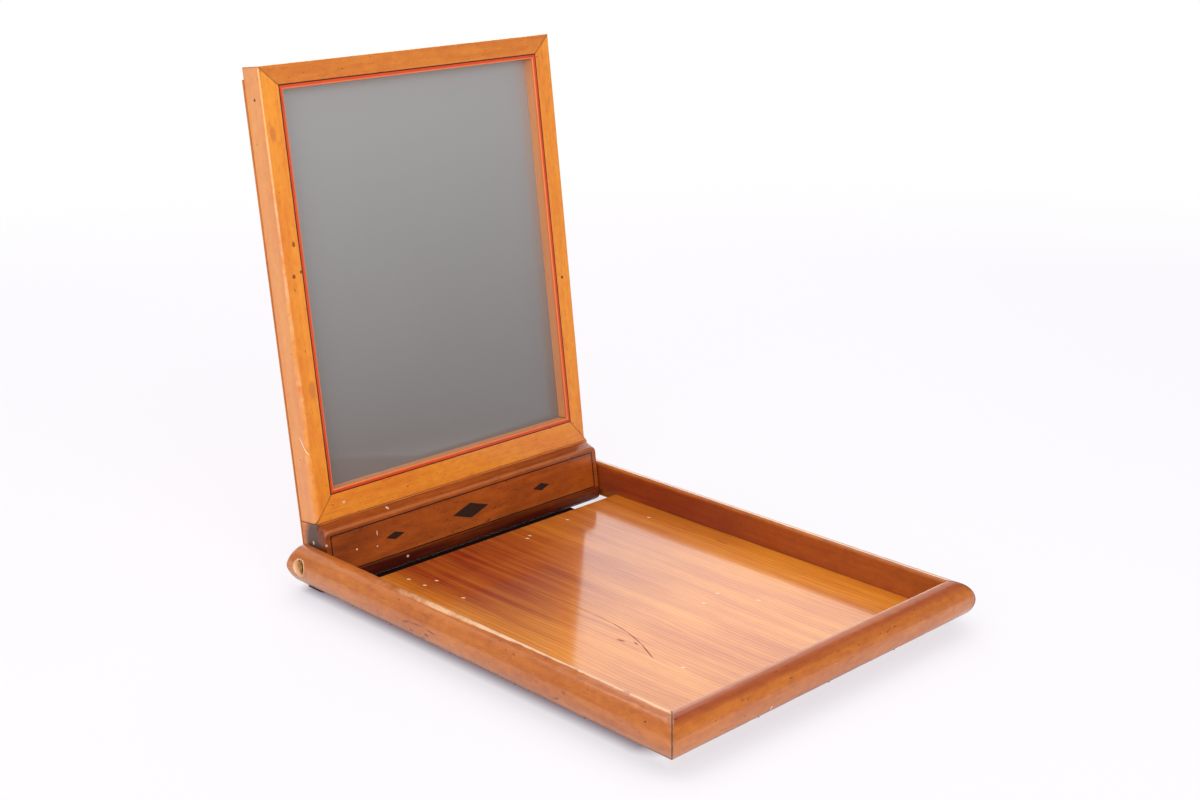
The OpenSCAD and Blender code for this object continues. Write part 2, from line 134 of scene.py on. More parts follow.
ahead = Vector((sin(YAW) * cos(PITCH), cos(YAW) * cos(PITCH), sin(PITCH)))
level = Vector((cos(YAW), -sin(YAW), 0))
upward = level.cross(ahead)
across = cos(ROLL) * level + sin(ROLL) * upward
above = cos(ROLL) * upward - sin(ROLL) * level

camera = bpy.data.objects.new("camera", bpy.data.cameras.new("camera"))
camera.data.sensor_width = SENSOR_MM
camera.data.lens = FOCAL_PX / IMAGE_PX * SENSOR_MM
camera.data.clip_start = 0.05
turn = Matrix((across, above, -ahead)).transposed().to_4x4()
camera.matrix_world = Matrix.Translation(PIVOT + FROM_HINGE) @ turn
bpy.context.scene.collection.objects.link(camera)
bpy.context.scene.camera = camera
bpy.context.scene.view_settings.view_transform = "Standard"
print(f"lens {camera.data.lens:.1f} mm")

# %% [markdown]
# ## Nodes in short form
#
# Materials and geometry trees are all made of nodes and links. One helper adds a node,
# sets its settings and fills its inputs. The others are built on it, for the few kinds of
# node that come up again and again, so that each finish below reads as a short recipe.

# %% Helpers for node trees
def put(tree, kind, inputs=(), **settings):
    """Adds a node. An input's value is a constant, or the socket that feeds it."""
    node = tree.nodes.new(kind)
    for name, value in settings.items():
        setattr(node, name, value)
    for key, value in dict(inputs).items():
        if isinstance(value, bpy.types.NodeSocket):
            tree.links.new(value, node.inputs[key])
        else:
            node.inputs[key].default_value = value
    return node


def maths(tree, operation, first, *others):
    """A maths node's output, or that of a row of them where more than two values are given."""
    if not others:
        return put(tree, "ShaderNodeMath", {0: first}, operation=operation).outputs[0]
    for value in others:
        first = put(tree, "ShaderNodeMath", {0: first, 1: value}, operation=operation).outputs[0]
    return first


def vector_maths(tree, operation, *values):
    """A vector maths node's output."""
    return put(tree, "ShaderNodeVectorMath", dict(enumerate(values)), operation=operation).outputs[0]


def length_of(tree, vector):
    """A vector's length."""
    return put(tree, "ShaderNodeVectorMath", {0: vector}, operation="LENGTH").outputs["Value"]


def split(tree, vector):
    """A vector's three parts, by the names X, Y and Z."""
    return put(tree, "ShaderNodeSeparateXYZ", {0: vector}).outputs


def speckle(tree, vector, scale, detail, **others):
    """Noise that goes up and down around a half."""
    inputs = {"Vector": vector, "Scale": scale, "Detail": detail, **others}
    return put(tree, "ShaderNodeTexNoise", inputs).outputs["Fac"]


def object_place(tree):
    """A point's place on its object, which is its place in the shared frame."""
    return put(tree, "ShaderNodeTexCoord").outputs["Object"]


def mesh_mark(tree, name, output="Fac"):
    """A mark that the mesh carries on its points."""
    return put(tree, "ShaderNodeAttribute", attribute_name=name).outputs[output]


def blend_colour(tree, factor, first, second, how="MIX"):
    """First where the factor is 0, second where it is 1."""
    inputs = {0: factor, 6: first, 7: second}
    return put(tree, "ShaderNodeMix", inputs, data_type="RGBA", blend_type=how).outputs[2]


def remap(tree, value, low, high, to_low=0.0, to_high=1.0, smooth=False):
    """Value from one range to another, held at the ends."""
    kind = "SMOOTHSTEP" if smooth else "LINEAR"
    inputs = {"Value": value, "From Min": low, "From Max": high, "To Min": to_low, "To Max": to_high}
    return put(tree, "ShaderNodeMapRange", inputs, interpolation_type=kind).outputs[0]


def colour(red, green, blue):
    """A screen colour, 0 to 255, as the linear colour that shaders use."""
    def linear(c):
        """One channel, without the screen's curve."""
        c /= 255
        return c / 12.92 if c <= 0.04045 else ((c + 0.055) / 1.055) ** 2.4
    return (linear(red), linear(green), linear(blue), 1.0)


def new_material(name):
    """A new material, its tree and its Principled shader."""
    material = bpy.data.materials.new(name)
    material.use_nodes = True
    return material, material.node_tree, material.node_tree.nodes["Principled BSDF"]


def new_group(name, inputs, outputs):
    """An empty shader group with its sockets: the group, what it is given, and its end node."""
    group = bpy.data.node_groups.new(name, "ShaderNodeTree")
    for socket, kind, value in inputs:
        item = group.interface.new_socket(socket, in_out="INPUT", socket_type=kind)
        if value is not None:
            item.default_value = value
    for socket, kind in outputs:
        group.interface.new_socket(socket, in_out="OUTPUT", socket_type=kind)
    return group, group.nodes.new("NodeGroupInput").outputs, group.nodes.new("NodeGroupOutput")


FLOAT, VECTOR, COLOUR = "NodeSocketFloat", "NodeSocketVector", "NodeSocketColor"
print("node helpers ready")

# %% [markdown]
# ## Grain, shared by every piece of wood
#
# Fruitwood is close and silky: long colour streaks, faint growth lines, and short dark
# pores. All of them are noise drawn out along the fibres. The group reads a vector whose
# first part runs along the grain, in metres, so one group serves pieces that lie any way.

# %% Wood grain group
# Each figure's fineness, per metre along, across and into the grain
STREAK, BEND, FIBRE, PORE = (7, 140, 140), (9, 45, 45), (60, 1500, 1500), (130, 2600, 2600)
BLOTCH, MOTTLE, PIT = (14, 30, 30), (150, 240, 240), (240, 420, 420)
FIBRE_SHARE = 0.18
RING_BEND = 15.0


def grain_group():
    """Colour, height and tone of fruitwood at a place in the grain."""
    group, source, end = new_group("fruitwood_grain", [
        ("Vector", VECTOR, None), ("Light", COLOUR, colour(225, 140, 60)),
        ("Dark", COLOUR, colour(150, 70, 20)), ("Streaks", FLOAT, 0.5), ("Lines", FLOAT, 0.4),
        ("Pitch", FLOAT, 260.0), ("Pores", FLOAT, 0.4), ("Blotches", FLOAT, 0.3),
        ("Mottle", FLOAT, 0.2), ("Pits", FLOAT, 0.0)],
        [("Color", COLOUR), ("Height", FLOAT), ("Tone", FLOAT)])

    def drawn_out(per_metre, detail, roughness=0.55, shift=0.0):
        """Noise stretched along the fibres."""
        scaled = vector_maths(group, "MULTIPLY", source["Vector"], per_metre)
        moved = vector_maths(group, "ADD", scaled, (shift, shift, shift))
        return speckle(group, moved, 1.0, detail, Roughness=roughness)

    streak = remap(group, drawn_out(STREAK, 4), 0.3, 0.7)
    rings = maths(group, "MULTIPLY", split(group, source["Vector"])["Y"], source["Pitch"])
    rings = maths(group, "ADD", rings, maths(group, "MULTIPLY", drawn_out(BEND, 2, shift=3.1), RING_BEND))
    ring = maths(group, "POWER", maths(group, "ABSOLUTE", maths(group, "SINE", rings)), 3.0)
    fibre = remap(group, drawn_out(FIBRE, 3, shift=5.7), 0.3, 0.7)
    pore = remap(group, drawn_out(PORE, 1, shift=9.2), 0.66, 0.74)
    blotch = remap(group, drawn_out(BLOTCH, 3, shift=12.5), 0.3, 0.7)
    mottle = remap(group, drawn_out(MOTTLE, 3, 0.65, shift=17.3), 0.32, 0.68)
    pit = remap(group, drawn_out(PIT, 2, shift=21.9), 0.69, 0.75)

    figures = ((streak, "Streaks"), (ring, "Lines"), (blotch, "Blotches"), (mottle, "Mottle"))
    parts = [maths(group, "MULTIPLY", mask, source[name]) for mask, name in figures]
    tone = maths(group, "ADD", *parts, maths(group, "MULTIPLY", fibre, FIBRE_SHARE))
    total = maths(group, "ADD", *[source[name] for _, name in figures], FIBRE_SHARE)
    tone = maths(group, "DIVIDE", tone, total)
    pitted = maths(group, "MAXIMUM", maths(group, "MULTIPLY", pore, source["Pores"]),
                   maths(group, "MULTIPLY", pit, source["Pits"]))
    shade = blend_colour(group, tone, source["Light"], source["Dark"])
    shade = blend_colour(group, pitted, shade, colour(70, 28, 8))
    height = maths(group, "SUBTRACT", maths(group, "MULTIPLY", fibre, 0.25),
                   maths(group, "MULTIPLY", pore, 0.6))
    for name, value in (("Color", shade), ("Height", height), ("Tone", tone)):
        group.links.new(value, end.inputs[name])
    return group


GRAIN = grain_group()
print("grain group:", len(GRAIN.nodes), "nodes")

# %% [markdown]
# ## Wear, and pale chips
#
# Handling rubs the polish off the arrises and leaves dirt in the joints. The shaped pieces
# carry three marks in their meshes: one for wear and painted highlight, one for seams, dirt
# and painted shade, and one for stains and painted sheen or shade. This group breaks the worn
# mark up so that it never runs as an even stripe. A second group draws one small chip,
# scratch or crack, at its own place and turned in the plane of the face.

# %% Wear group and blemish group
SWAY = 0.4 * MM


def wear_and_highlight_group():
    """A mask for the polish that is rubbed off, and for a painted highlight, near the points that are marked
    as worn.
    """
    group, source, end = new_group("rubbed_polish_and_highlight", [
        ("Vector", VECTOR, None), ("Worn", FLOAT, 0.0), ("Amount", FLOAT, 0.6), ("Ragged", FLOAT, 1.2),
        ("Seed", FLOAT, 0.0)],
        [("Mask", FLOAT)])
    wide = {"Vector": source["Vector"], "W": source["Seed"], "Scale": 90.0, "Detail": 5.0, "Roughness": 0.7}
    patches = put(group, "ShaderNodeTexNoise", wide, noise_dimensions="4D").outputs["Fac"]
    spread = maths(group, "MULTIPLY", maths(group, "SUBTRACT", patches, 0.5), source["Ragged"])
    rubbed = remap(group, maths(group, "ADD", source["Worn"], spread), 0.45, 1.0, smooth=True)
    mask = maths(group, "MULTIPLY", rubbed, source["Amount"], remap(group, source["Worn"], 0.0, 0.3))
    group.links.new(mask, end.inputs["Mask"])
    return group


def blemish_group():
    """A mask for one small ellipse with a ragged edge."""
    group, source, end = new_group("one_blemish", [
        ("Vector", VECTOR, None), ("Centre", VECTOR, None), ("Size", VECTOR, None), ("Turn", VECTOR, None)],
        [("Mask", FLOAT)])
    away = vector_maths(group, "SUBTRACT", source["Vector"], source["Centre"])
    sway = put(group, "ShaderNodeTexNoise", {"Vector": source["Vector"], "Scale": 130.0, "Detail": 1.0})
    sway = vector_maths(group, "SUBTRACT", sway.outputs["Color"], (0.5, 0.5, 0.5))
    sway = put(group, "ShaderNodeVectorMath", {0: sway, "Scale": SWAY}, operation="SCALE").outputs[0]
    away = vector_maths(group, "ADD", away, sway)
    turned = put(group, "ShaderNodeVectorRotate", {"Vector": away, "Rotation": source["Turn"]},
                 rotation_type="EULER_XYZ").outputs[0]
    reach = length_of(group, vector_maths(group, "DIVIDE", turned, source["Size"]))
    ragged = speckle(group, source["Vector"], 1500.0, 2.0)
    reach = maths(group, "ADD", reach, maths(group, "MULTIPLY", ragged, 0.7))
    group.links.new(remap(group, reach, 1.45, 1.05), end.inputs["Mask"])
    return group


WEAR_AND_HIGHLIGHT = wear_and_highlight_group()
BLEMISH = blemish_group()
print("wear and blemish groups made")

# %% [markdown]
# ## A recipe for polished wood
#
# French polish is a thin clear coat over stained wood, so the Principled shader's coat
# carries the shine and the base below it carries the grain. Where the coat has been rubbed
# through, the wood is paler and duller, and dirt, painted shade and chips have no coat at all.
# A stain mark darkens or warms a broad zone and drifts with the grain: on some pieces it is a
# real stain, on others painted shade, sheen or highlight. Each wood below is this recipe with
# its own colours.

# %% Polished wood
DRIFT = (9, 240, 240)
# The seam colour is dirt in the joints, and painted shade under the side rails
SEAM_DIRT_AND_SHADE = colour(62, 28, 16)
TONE_ROUGHENS, WEAR_ROUGHENS, RIPPLE_SHARE = 0.12, 0.15, 0.6


def stain_and_light_tinted(tree, shade, vector, stain, cover):
    """Colour with the stain colour multiplied in where the mesh is marked, for real stains and for painted
    light and shade. Cover hides the grain.
    """
    drift = speckle(tree, vector_maths(tree, "MULTIPLY", vector, DRIFT), 1.0, 4.0)
    zone = maths(tree, "MULTIPLY", mesh_mark(tree, "stain"), remap(tree, drift, 0.3, 0.65, 0.65, 1.08))
    zone = maths(tree, "MINIMUM", zone, 1.0)
    tinted = blend_colour(tree, cover, blend_colour(tree, 1.0, shade, stain, "MULTIPLY"), stain)
    return blend_colour(tree, zone, shade, tinted)


def wood(name, light, dark, bare, streaks=0.5, lines=0.4, pitch=260.0, pores=0.35, blotches=0.3,
         mottle=0.2, pits=0.0, roughness=0.42, coat=0.5, coat_roughness=0.14, wear=0.7, ragged=1.2,
         bump=0.25, stain=None, cover=0.3, specular=0.5, along=None, blemishes=(), seed=0.0):
    """A wood finish. along names the object axes that run along, across and into the grain;
    without it the piece's own grain mark is used. A blemish is centre, size, turn in degrees
    and colour."""
    material, tree, shader = new_material(name)
    if along:
        axes = split(tree, object_place(tree))
        vector = put(tree, "ShaderNodeCombineXYZ", {i: axes[a] for i, a in enumerate(along)}).outputs[0]
        worn = seam = 0.0
    else:
        vector = mesh_mark(tree, "grain", "Vector")
        worn, seam = mesh_mark(tree, "worn"), mesh_mark(tree, "seam")
    grain = put(tree, "ShaderNodeGroup", {
        "Vector": vector, "Light": light, "Dark": dark, "Streaks": streaks, "Lines": lines,
        "Pitch": pitch, "Pores": pores, "Blotches": blotches, "Mottle": mottle, "Pits": pits},
        node_tree=GRAIN).outputs
    shade = grain["Color"]
    if stain:
        shade = stain_and_light_tinted(tree, shade, vector, stain, cover)
    mask = put(tree, "ShaderNodeGroup", {
        "Vector": vector, "Worn": worn, "Amount": wear, "Ragged": ragged, "Seed": seed},
        node_tree=WEAR_AND_HIGHLIGHT).outputs["Mask"]
    shade = blend_colour(tree, mask, shade, bare)
    # The seam mark paints dirt, and painted shade where a piece is marked for it
    broken = remap(tree, speckle(tree, vector, 420.0, 3.0), 0.3, 0.6, 0.6, 0.95)
    dirt_and_shade = maths(tree, "MULTIPLY", seam, broken)
    shade = blend_colour(tree, dirt_and_shade, shade, SEAM_DIRT_AND_SHADE)
    lost = maths(tree, "MAXIMUM", mask, dirt_and_shade)
    for centre, size, angles, tint in blemishes:
        spot = put(tree, "ShaderNodeGroup", {
            "Vector": vector, "Centre": centre, "Size": size, "Turn": [radians(a) for a in angles]},
            node_tree=BLEMISH).outputs["Mask"]
        shade = blend_colour(tree, spot, shade, tint)
        lost = maths(tree, "MAXIMUM", lost, spot)
    kept = maths(tree, "SUBTRACT", 1.0, lost)
    dull = maths(tree, "ADD", maths(tree, "MULTIPLY", grain["Tone"], TONE_ROUGHENS),
                 roughness - TONE_ROUGHENS / 2, maths(tree, "MULTIPLY", mask, WEAR_ROUGHENS))
    ripples = maths(tree, "MULTIPLY", speckle(tree, vector, 120.0, 3.0), RIPPLE_SHARE)
    height = maths(tree, "ADD", grain["Height"], ripples)
    relief = put(tree, "ShaderNodeBump", {"Height": height, "Strength": bump, "Distance": 0.2 * MM})
    tree.links.new(shade, shader.inputs["Base Color"])
    tree.links.new(dull, shader.inputs["Roughness"])
    tree.links.new(maths(tree, "MULTIPLY", kept, coat), shader.inputs["Coat Weight"])
    tree.links.new(relief.outputs[0], shader.inputs["Normal"])
    shader.inputs["Coat Roughness"].default_value = coat_roughness
    shader.inputs["Specular IOR Level"].default_value = specular
    return material


print("wood recipe ready")

# %% [markdown]
# ## Chips, scratches and the woods of the frame, rails and plaque
#
# A blemish is easiest to place on the piece itself: so far along it, so far across and so
# deep. Each piece's grain mark is its own place plus a shift, so that no two pieces show the
# same figure, and the blemishes are moved by the same shift.

# %% Frame finishes
FLAT = (0, 0, 0)
# The darkest spot colour is dirt on the frame, and painted shade on the foot's end
PALE, FILLER, DIRT_AND_SHADE = colour(252, 226, 196), colour(222, 190, 160), colour(58, 24, 10)
SOFT, SOFTER = colour(150, 74, 22), colour(140, 66, 20)
DULL_LOW, DULL_HIGH = colour(212, 122, 48), colour(212, 122, 52)
FRAME_SHIFT = (0.13, 0.057, 0.031)
LEFT_STILE, RIGHT_STILE, TOP_RAIL, BOTTOM_RAIL = 1.0, 2.0, 3.0, 4.0


def shift_of(seed):
    """How far the grain of a member of the frame is shifted."""
    return [seed * step for step in FRAME_SHIFT]


def moved(shift, blemishes):
    """Blemishes moved from their place on the piece to where its grain mark has it."""
    return [([a + b for a, b in zip(place, shift)], size, angles, tint)
            for place, size, angles, tint in blemishes]


# Each blemish: place along, across and into the member, half sizes, turn and colour
FRAME_BLEMISHES = moved(shift_of(LEFT_STILE), (
    ((0.0732, 0.0005, 0.0033), (0.0080, 0.0016, 0.0004), (0, 31, 0), PALE),
    ((0.2821, 0.0, 0.0074), (0.0010, 0.004, 0.0010), FLAT, DIRT_AND_SHADE),
    ((0.1960, 0.0095, 0.0), (0.0018, 0.0012, 0.004), FLAT, SOFT),
    ((0.1770, 0.0070, 0.0), (0.0014, 0.0013, 0.004), FLAT, SOFTER),
    ((0.1790, 0.0122, 0.0), (0.0011, 0.0010, 0.004), FLAT, SOFTER),
    ((0.1070, 0.0095, 0.0), (0.0060, 0.0026, 0.004), FLAT, DULL_LOW),
    ((0.2620, 0.0050, 0.0), (0.0050, 0.0022, 0.004), FLAT, DULL_HIGH),
))
FRAME_BLEMISHES += moved(shift_of(RIGHT_STILE), (
    ((0.1400, 0.0080, 0.0), (0.0011, 0.0010, 0.004), FLAT, DIRT_AND_SHADE),
))
FRAME_BLEMISHES += moved(shift_of(BOTTOM_RAIL), (
    ((-0.0919, 0.0092, 0.0), (0.0012, 0.0009, 0.01), FLAT, FILLER),
))
# The frame's stain colour is a painted sheen on the wall of the sight and on the outer sides
FRAME_RECIPE = dict(bare=colour(248, 200, 152), lines=0.15, pitch=700.0, blotches=0.6, mottle=0.5,
                    pits=0.85, pores=0.5, coat=0.4, coat_roughness=0.12, roughness=0.45,
                    stain=colour(236, 176, 132), cover=0.75)
FRAME_WOOD = wood("frame_fruitwood", colour(250, 166, 46), colour(216, 106, 14), streaks=0.5,
                  blemishes=FRAME_BLEMISHES, **FRAME_RECIPE)
TOP_WOOD = wood("frame_top_fruitwood", colour(232, 146, 42), colour(192, 88, 14), streaks=0.6,
                **FRAME_RECIPE)
print("frame blemishes:", len(FRAME_BLEMISHES))

# %% [markdown]
# The left rail is scuffed where it has knocked against things, near its middle and again
# near its front end, and the front rail has one pale scratch. The plaque has a few chips,
# most of them filled.

# %% Rail and plaque finishes
LEFT_RAIL, RIGHT_RAIL, FRONT_RAIL = 0.3, 1.7, 2.9
PLAQUE_SHIFT = (0.7, 0.2, 0.1)
SCUFF = colour(138, 84, 62)
# Place along the rail, height, half length, half height and slope in degrees
SCUFFS = (
    (0.118, 0.0128, 0.0045, 0.0005, 12), (0.126, 0.0136, 0.0060, 0.0004, 4),
    (0.141, 0.0132, 0.0050, 0.0005, -6), (0.122, 0.0085, 0.0012, 0.0012, 40),
    (0.136, 0.0098, 0.0018, 0.0010, 0), (0.131, 0.0062, 0.0024, 0.0006, 20),
    (0.244, 0.0092, 0.0026, 0.0006, 24), (0.250, 0.0146, 0.0020, 0.0006, -14))
RAIL_BLEMISHES = moved([LEFT_RAIL] * 3, [
    ((forward, 0.008, up), (reach, 0.02, rise), (0, slope, 0), SCUFF)
    for forward, up, reach, rise, slope in SCUFFS])
RAIL_BLEMISHES += moved([FRONT_RAIL] * 3, [((0.063, 0.01, 0.0068), (0.0004, 0.02, 0.0016), FLAT, PALE)])
# The rails' stain colour darkens the inner wall, and paints a dark reflection on the front rail's crest
RAIL_WOOD = wood("rail_fruitwood", colour(214, 124, 38), colour(152, 64, 10), colour(250, 208, 166),
                 streaks=0.5, lines=0.2, pitch=700.0, blotches=0.75, mottle=0.6, pits=0.9, pores=0.5,
                 coat=1.0, coat_roughness=0.1, roughness=0.5, wear=0.85, ragged=0.9,
                 stain=colour(178, 84, 48), cover=0.2, specular=0.3, blemishes=RAIL_BLEMISHES, seed=2.0)
PLAQUE_BLEMISHES = moved(PLAQUE_SHIFT, (
    ((-0.0756, -0.0080, 0.0101), (0.0005, 0.01, 0.0016), FLAT, FILLER),
    ((-0.0765, -0.0080, 0.0017), (0.0007, 0.01, 0.0005), FLAT, FILLER),
    ((-0.0921, -0.0080, 0.0040), (0.0006, 0.01, 0.0006), FLAT, PALE),
    ((-0.0543, -0.0080, -0.0110), (0.0011, 0.01, 0.0008), FLAT, FILLER),
    ((-0.0626, -0.0035, 0.0225), (0.0009, 0.002, 0.0011), FLAT, FILLER),
    ((-0.1138, -0.0077, 0.0124), (0.0010, 0.0007, 0.0009), FLAT, FILLER),
))
# The plaque's stain colour paints shade on its left end, below its line and on its sill
PLAQUE_WOOD = wood("plaque_fruitwood", colour(206, 100, 24), colour(112, 42, 6), colour(196, 122, 70),
                   streaks=0.7, lines=0.4, pitch=800.0, blotches=0.7, mottle=0.4, pits=0.8, pores=0.6,
                   wear=0.4, coat=0.4, stain=colour(112, 66, 56), cover=0.0, specular=0.3,
                   blemishes=PLAQUE_BLEMISHES, seed=4.0)
print("woods:", [m.name for m in bpy.data.materials if "fruitwood" in m.name])

# %% [markdown]
# ## The tray's floor
#
# The floor is the showpiece of the photograph: a broad glossy board with bold grain, two
# bruises and a hairline crack. It gets its own chips, listed one by one. The crack is a row of
# long thin blemishes, end to end, that grow wider towards the front.

# %% Floor finish
CHIP = (0.0015, 0.0008, 0.01)
# Places along the board from its front edge, and across it from the middle
CHIPPED_AT = ((0.2615, -0.0780), (0.2474, -0.0768), (0.2478, -0.0671), (0.2163, -0.0723),
              (0.2597, 0.0181), (0.2620, 0.0224), (0.2656, 0.0590), (0.0589, -0.0475),
              (0.1134, 0.0402), (0.1095, 0.0239), (0.0894, 0.0501), (0.2304, 0.1003))
CRACK_PARTS, CRACK_END, CRACK_STEP = 8, 0.211, 0.0165
BRUISE = colour(150, 74, 36)
FLOOR_BLEMISHES = [((a, b, FLOOR_T), CHIP, (0, 0, 25), colour(240, 212, 180)) for a, b in CHIPPED_AT]


def crack_at(forward):
    """The crack follows the grain, then bends away from it towards the front."""
    return Vector((forward, -0.0336 - 4.6 * max(0.0, 0.14 - forward) ** 2))


for k in range(CRACK_PARTS):
    start = crack_at(CRACK_END - CRACK_STEP * k)
    stop = crack_at(CRACK_END - CRACK_STEP * (k + 1))
    middle, reach = (start + stop) / 2, stop - start
    size = (reach.length / 2 + 1.4 * MM, (0.16 + 0.04 * k) * MM, 0.01)
    way = degrees(atan2(reach.y, reach.x))
    FLOOR_BLEMISHES.append(((middle.x, middle.y, FLOOR_T), size, (0, 0, -way), colour(116, 40, 12)))
FLOOR_BLEMISHES += [
    ((0.1074, -0.0473, FLOOR_T), (0.0032, 0.0008, 0.01), (0, 0, 10), BRUISE),
    ((0.0986, -0.0441, FLOOR_T), (0.0022, 0.0007, 0.01), (0, 0, -12), BRUISE),
    ((0.1662, 0.1022, FLOOR_T), (0.0060, 0.0006, 0.01), FLAT, colour(150, 74, 24)),
]
FLOOR_WOOD = wood("floor_fruitwood", colour(248, 162, 44), colour(180, 76, 8), colour(236, 176, 118),
                  streaks=0.85, lines=0.4, pitch=1100.0, specular=0.25, blotches=0.5, mottle=0.08,
                  coat=0.85, coat_roughness=0.11, roughness=0.5, wear=0.3, stain=colour(172, 90, 44),
                  cover=0.0, blemishes=FLOOR_BLEMISHES, seed=6.0)
print("floor blemishes:", len(FLOOR_BLEMISHES))

# %% [markdown]
# ## Plain woods and the thin lines
#
# What is out of the light is plain: runners of dark wood, a batten painted near black as the
# shade in the slot behind the floor, softwood blocks, and a veneer on the back. The foot
# block's end has painted shade where it turns against the tray. The lines are dyed strips of
# veneer, dark, black and red.

# %% Plain woods and lines
RUNNER_WOOD = wood("runner_wood", colour(74, 38, 22), colour(34, 16, 9), colour(120, 80, 55),
                   coat=0.0, roughness=0.8, specular=0.15, along="YXZ")
BACK_WOOD = wood("back_veneer", colour(218, 140, 72), colour(170, 94, 42), colour(214, 160, 110),
                 streaks=0.7, lines=0.25, pitch=1000.0, mottle=0.35, pores=0.5, coat=0.1,
                 roughness=0.6, along="ZXY", bump=0.5)
# The batten is near black: painted shade in the slot behind the floor
BATTEN_PAINTED_SHADE = wood("batten_painted_shade", colour(30, 14, 9), colour(14, 7, 5), colour(60, 36, 24),
                   coat=0.0, roughness=0.9, specular=0.05, along="XYZ")
BLOCK_WOOD = wood("block_softwood", colour(196, 146, 90), colour(150, 100, 55), colour(210, 170, 120),
                  coat=0.0, roughness=0.8, along="ZXY")
DARK_LINE = wood("dark_line", colour(76, 22, 7), colour(46, 11, 4), colour(120, 50, 20),
                 coat=0.3, roughness=0.5, along="ZXY")
INK_LINE = wood("black_line", colour(44, 18, 8), colour(26, 10, 5), colour(70, 34, 18),
                coat=0.3, roughness=0.5, along="XZY")
# The red line's stain colour paints a highlight along each strip's inner arris
RED_LINE = wood("red_line", colour(232, 76, 16), colour(196, 48, 8), colour(250, 150, 84),
                mottle=0.5, coat=0.4, roughness=0.45, wear=0.35, stain=colour(246, 142, 62), cover=0.85)
FOOT_END = -0.114
# The first two spots paint shade on the foot's end where it turns against the tray; the third is filler
FOOT_BLEMISHES_AND_SHADE = (
    ((FOOT_END, 0.0339, PIVOT.y + 0.0007), (0.006, 0.014, 0.010), FLAT, colour(96, 68, 62)),
    ((FOOT_END, 0.0, PIVOT.y - 0.0058), (0.012, 0.012, 0.030), FLAT, DIRT_AND_SHADE),
    ((FOOT_END, PIVOT.z + 0.012, PIVOT.y + 0.0026), (0.004, 0.0014, 0.0010), FLAT, FILLER),
)
FOOT_WOOD = wood("foot_fruitwood", colour(226, 140, 74), colour(180, 96, 44), colour(220, 170, 130),
                 coat=0.2, roughness=0.55, along="XZY", blemishes=FOOT_BLEMISHES_AND_SHADE)
print("plain woods and lines made")

# %% [markdown]
# ## Glass, silver, brass, iron and paper
#
# The plate's silvering is partly metallic, and its colour is a painted soft grey reflection,
# darker towards the foot, in place of a sharp picture, under a clear and glossy face. The
# brass and the iron are old, and their colour and roughness change in patches.

# %% Other finishes
# Levels of the painted grey reflection at the plate's foot and at its head
REFLECTION_GREY_FOOT, REFLECTION_GREY_HEAD = 0.23, 0.435


def patchy(name, bright, dull, metallic, rough_low, rough_high, scale):
    """A metal or paper whose colour and roughness change in patches."""
    material, tree, shader = new_material(name)
    patch = remap(tree, speckle(tree, object_place(tree), scale, 6.0, Roughness=0.65), 0.38, 0.62)
    relief = put(tree, "ShaderNodeBump", {"Height": patch, "Strength": 0.3, "Distance": 0.1 * MM})
    shader.inputs["Metallic"].default_value = metallic
    tree.links.new(blend_colour(tree, patch, bright, dull), shader.inputs["Base Color"])
    tree.links.new(remap(tree, patch, 0.0, 1.0, rough_low, rough_high), shader.inputs["Roughness"])
    tree.links.new(relief.outputs[0], shader.inputs["Normal"])
    return material


def mirror_plate():
    """Part-metallic silvering under a clear face, with a painted grey reflection that darkens towards the
    foot.
    """
    material, tree, shader = new_material("old_mirror_plate")
    place = object_place(tree)
    cloud = speckle(tree, place, 9.0, 5.0)
    # The painted grey reflection, from the foot's level up to the head's
    level = remap(tree, split(tree, place)["Z"], PIVOT.z + glass_low.z, PIVOT.z + glass_high.z,
                  REFLECTION_GREY_FOOT, REFLECTION_GREY_HEAD)
    level = maths(tree, "MULTIPLY", level, remap(tree, cloud, 0.3, 0.7, 0.99, 1.01))
    shade = put(tree, "ShaderNodeCombineColor", {0: level, 1: level, 2: level}).outputs[0]
    tree.links.new(shade, shader.inputs["Base Color"])
    tree.links.new(remap(tree, cloud, 0.3, 0.7, 0.32, 0.36), shader.inputs["Roughness"])
    for name, value in (("Metallic", 0.3), ("Coat Weight", 1.0), ("Coat Roughness", 0.02)):
        shader.inputs[name].default_value = value
    return material


MIRROR = mirror_plate()
SILVER = patchy("mirror_silver", colour(226, 227, 226), colour(190, 192, 190), 1.0, 0.1, 0.25, 40.0)
PAPER = patchy("backing_paper", colour(140, 104, 66), colour(110, 78, 46), 0.0, 0.85, 0.95, 60.0)
BRASS = patchy("old_brass", colour(214, 176, 104), colour(120, 88, 50), 0.85, 0.35, 0.65, 500.0)
IRON = patchy("old_iron", colour(128, 120, 112), colour(84, 52, 36), 0.8, 0.45, 0.8, 900.0)
print("mirror, silver, paper, brass and iron made")

# %% [markdown]
# ## Shaped boards
#
# A board or a moulding is one outline carried along its length. The outline is written as
# a few corners, each with its own rounding, so a worn arris is a larger radius and a crisp
# one a smaller. Rings of these points are joined into a closed skin.

# %% Outline helper
ARC_STEPS = 5
EDGE_BAND = 0.6 * MM
EDGE_LIMIT = 0.3
NO_LENGTH = 1e-7


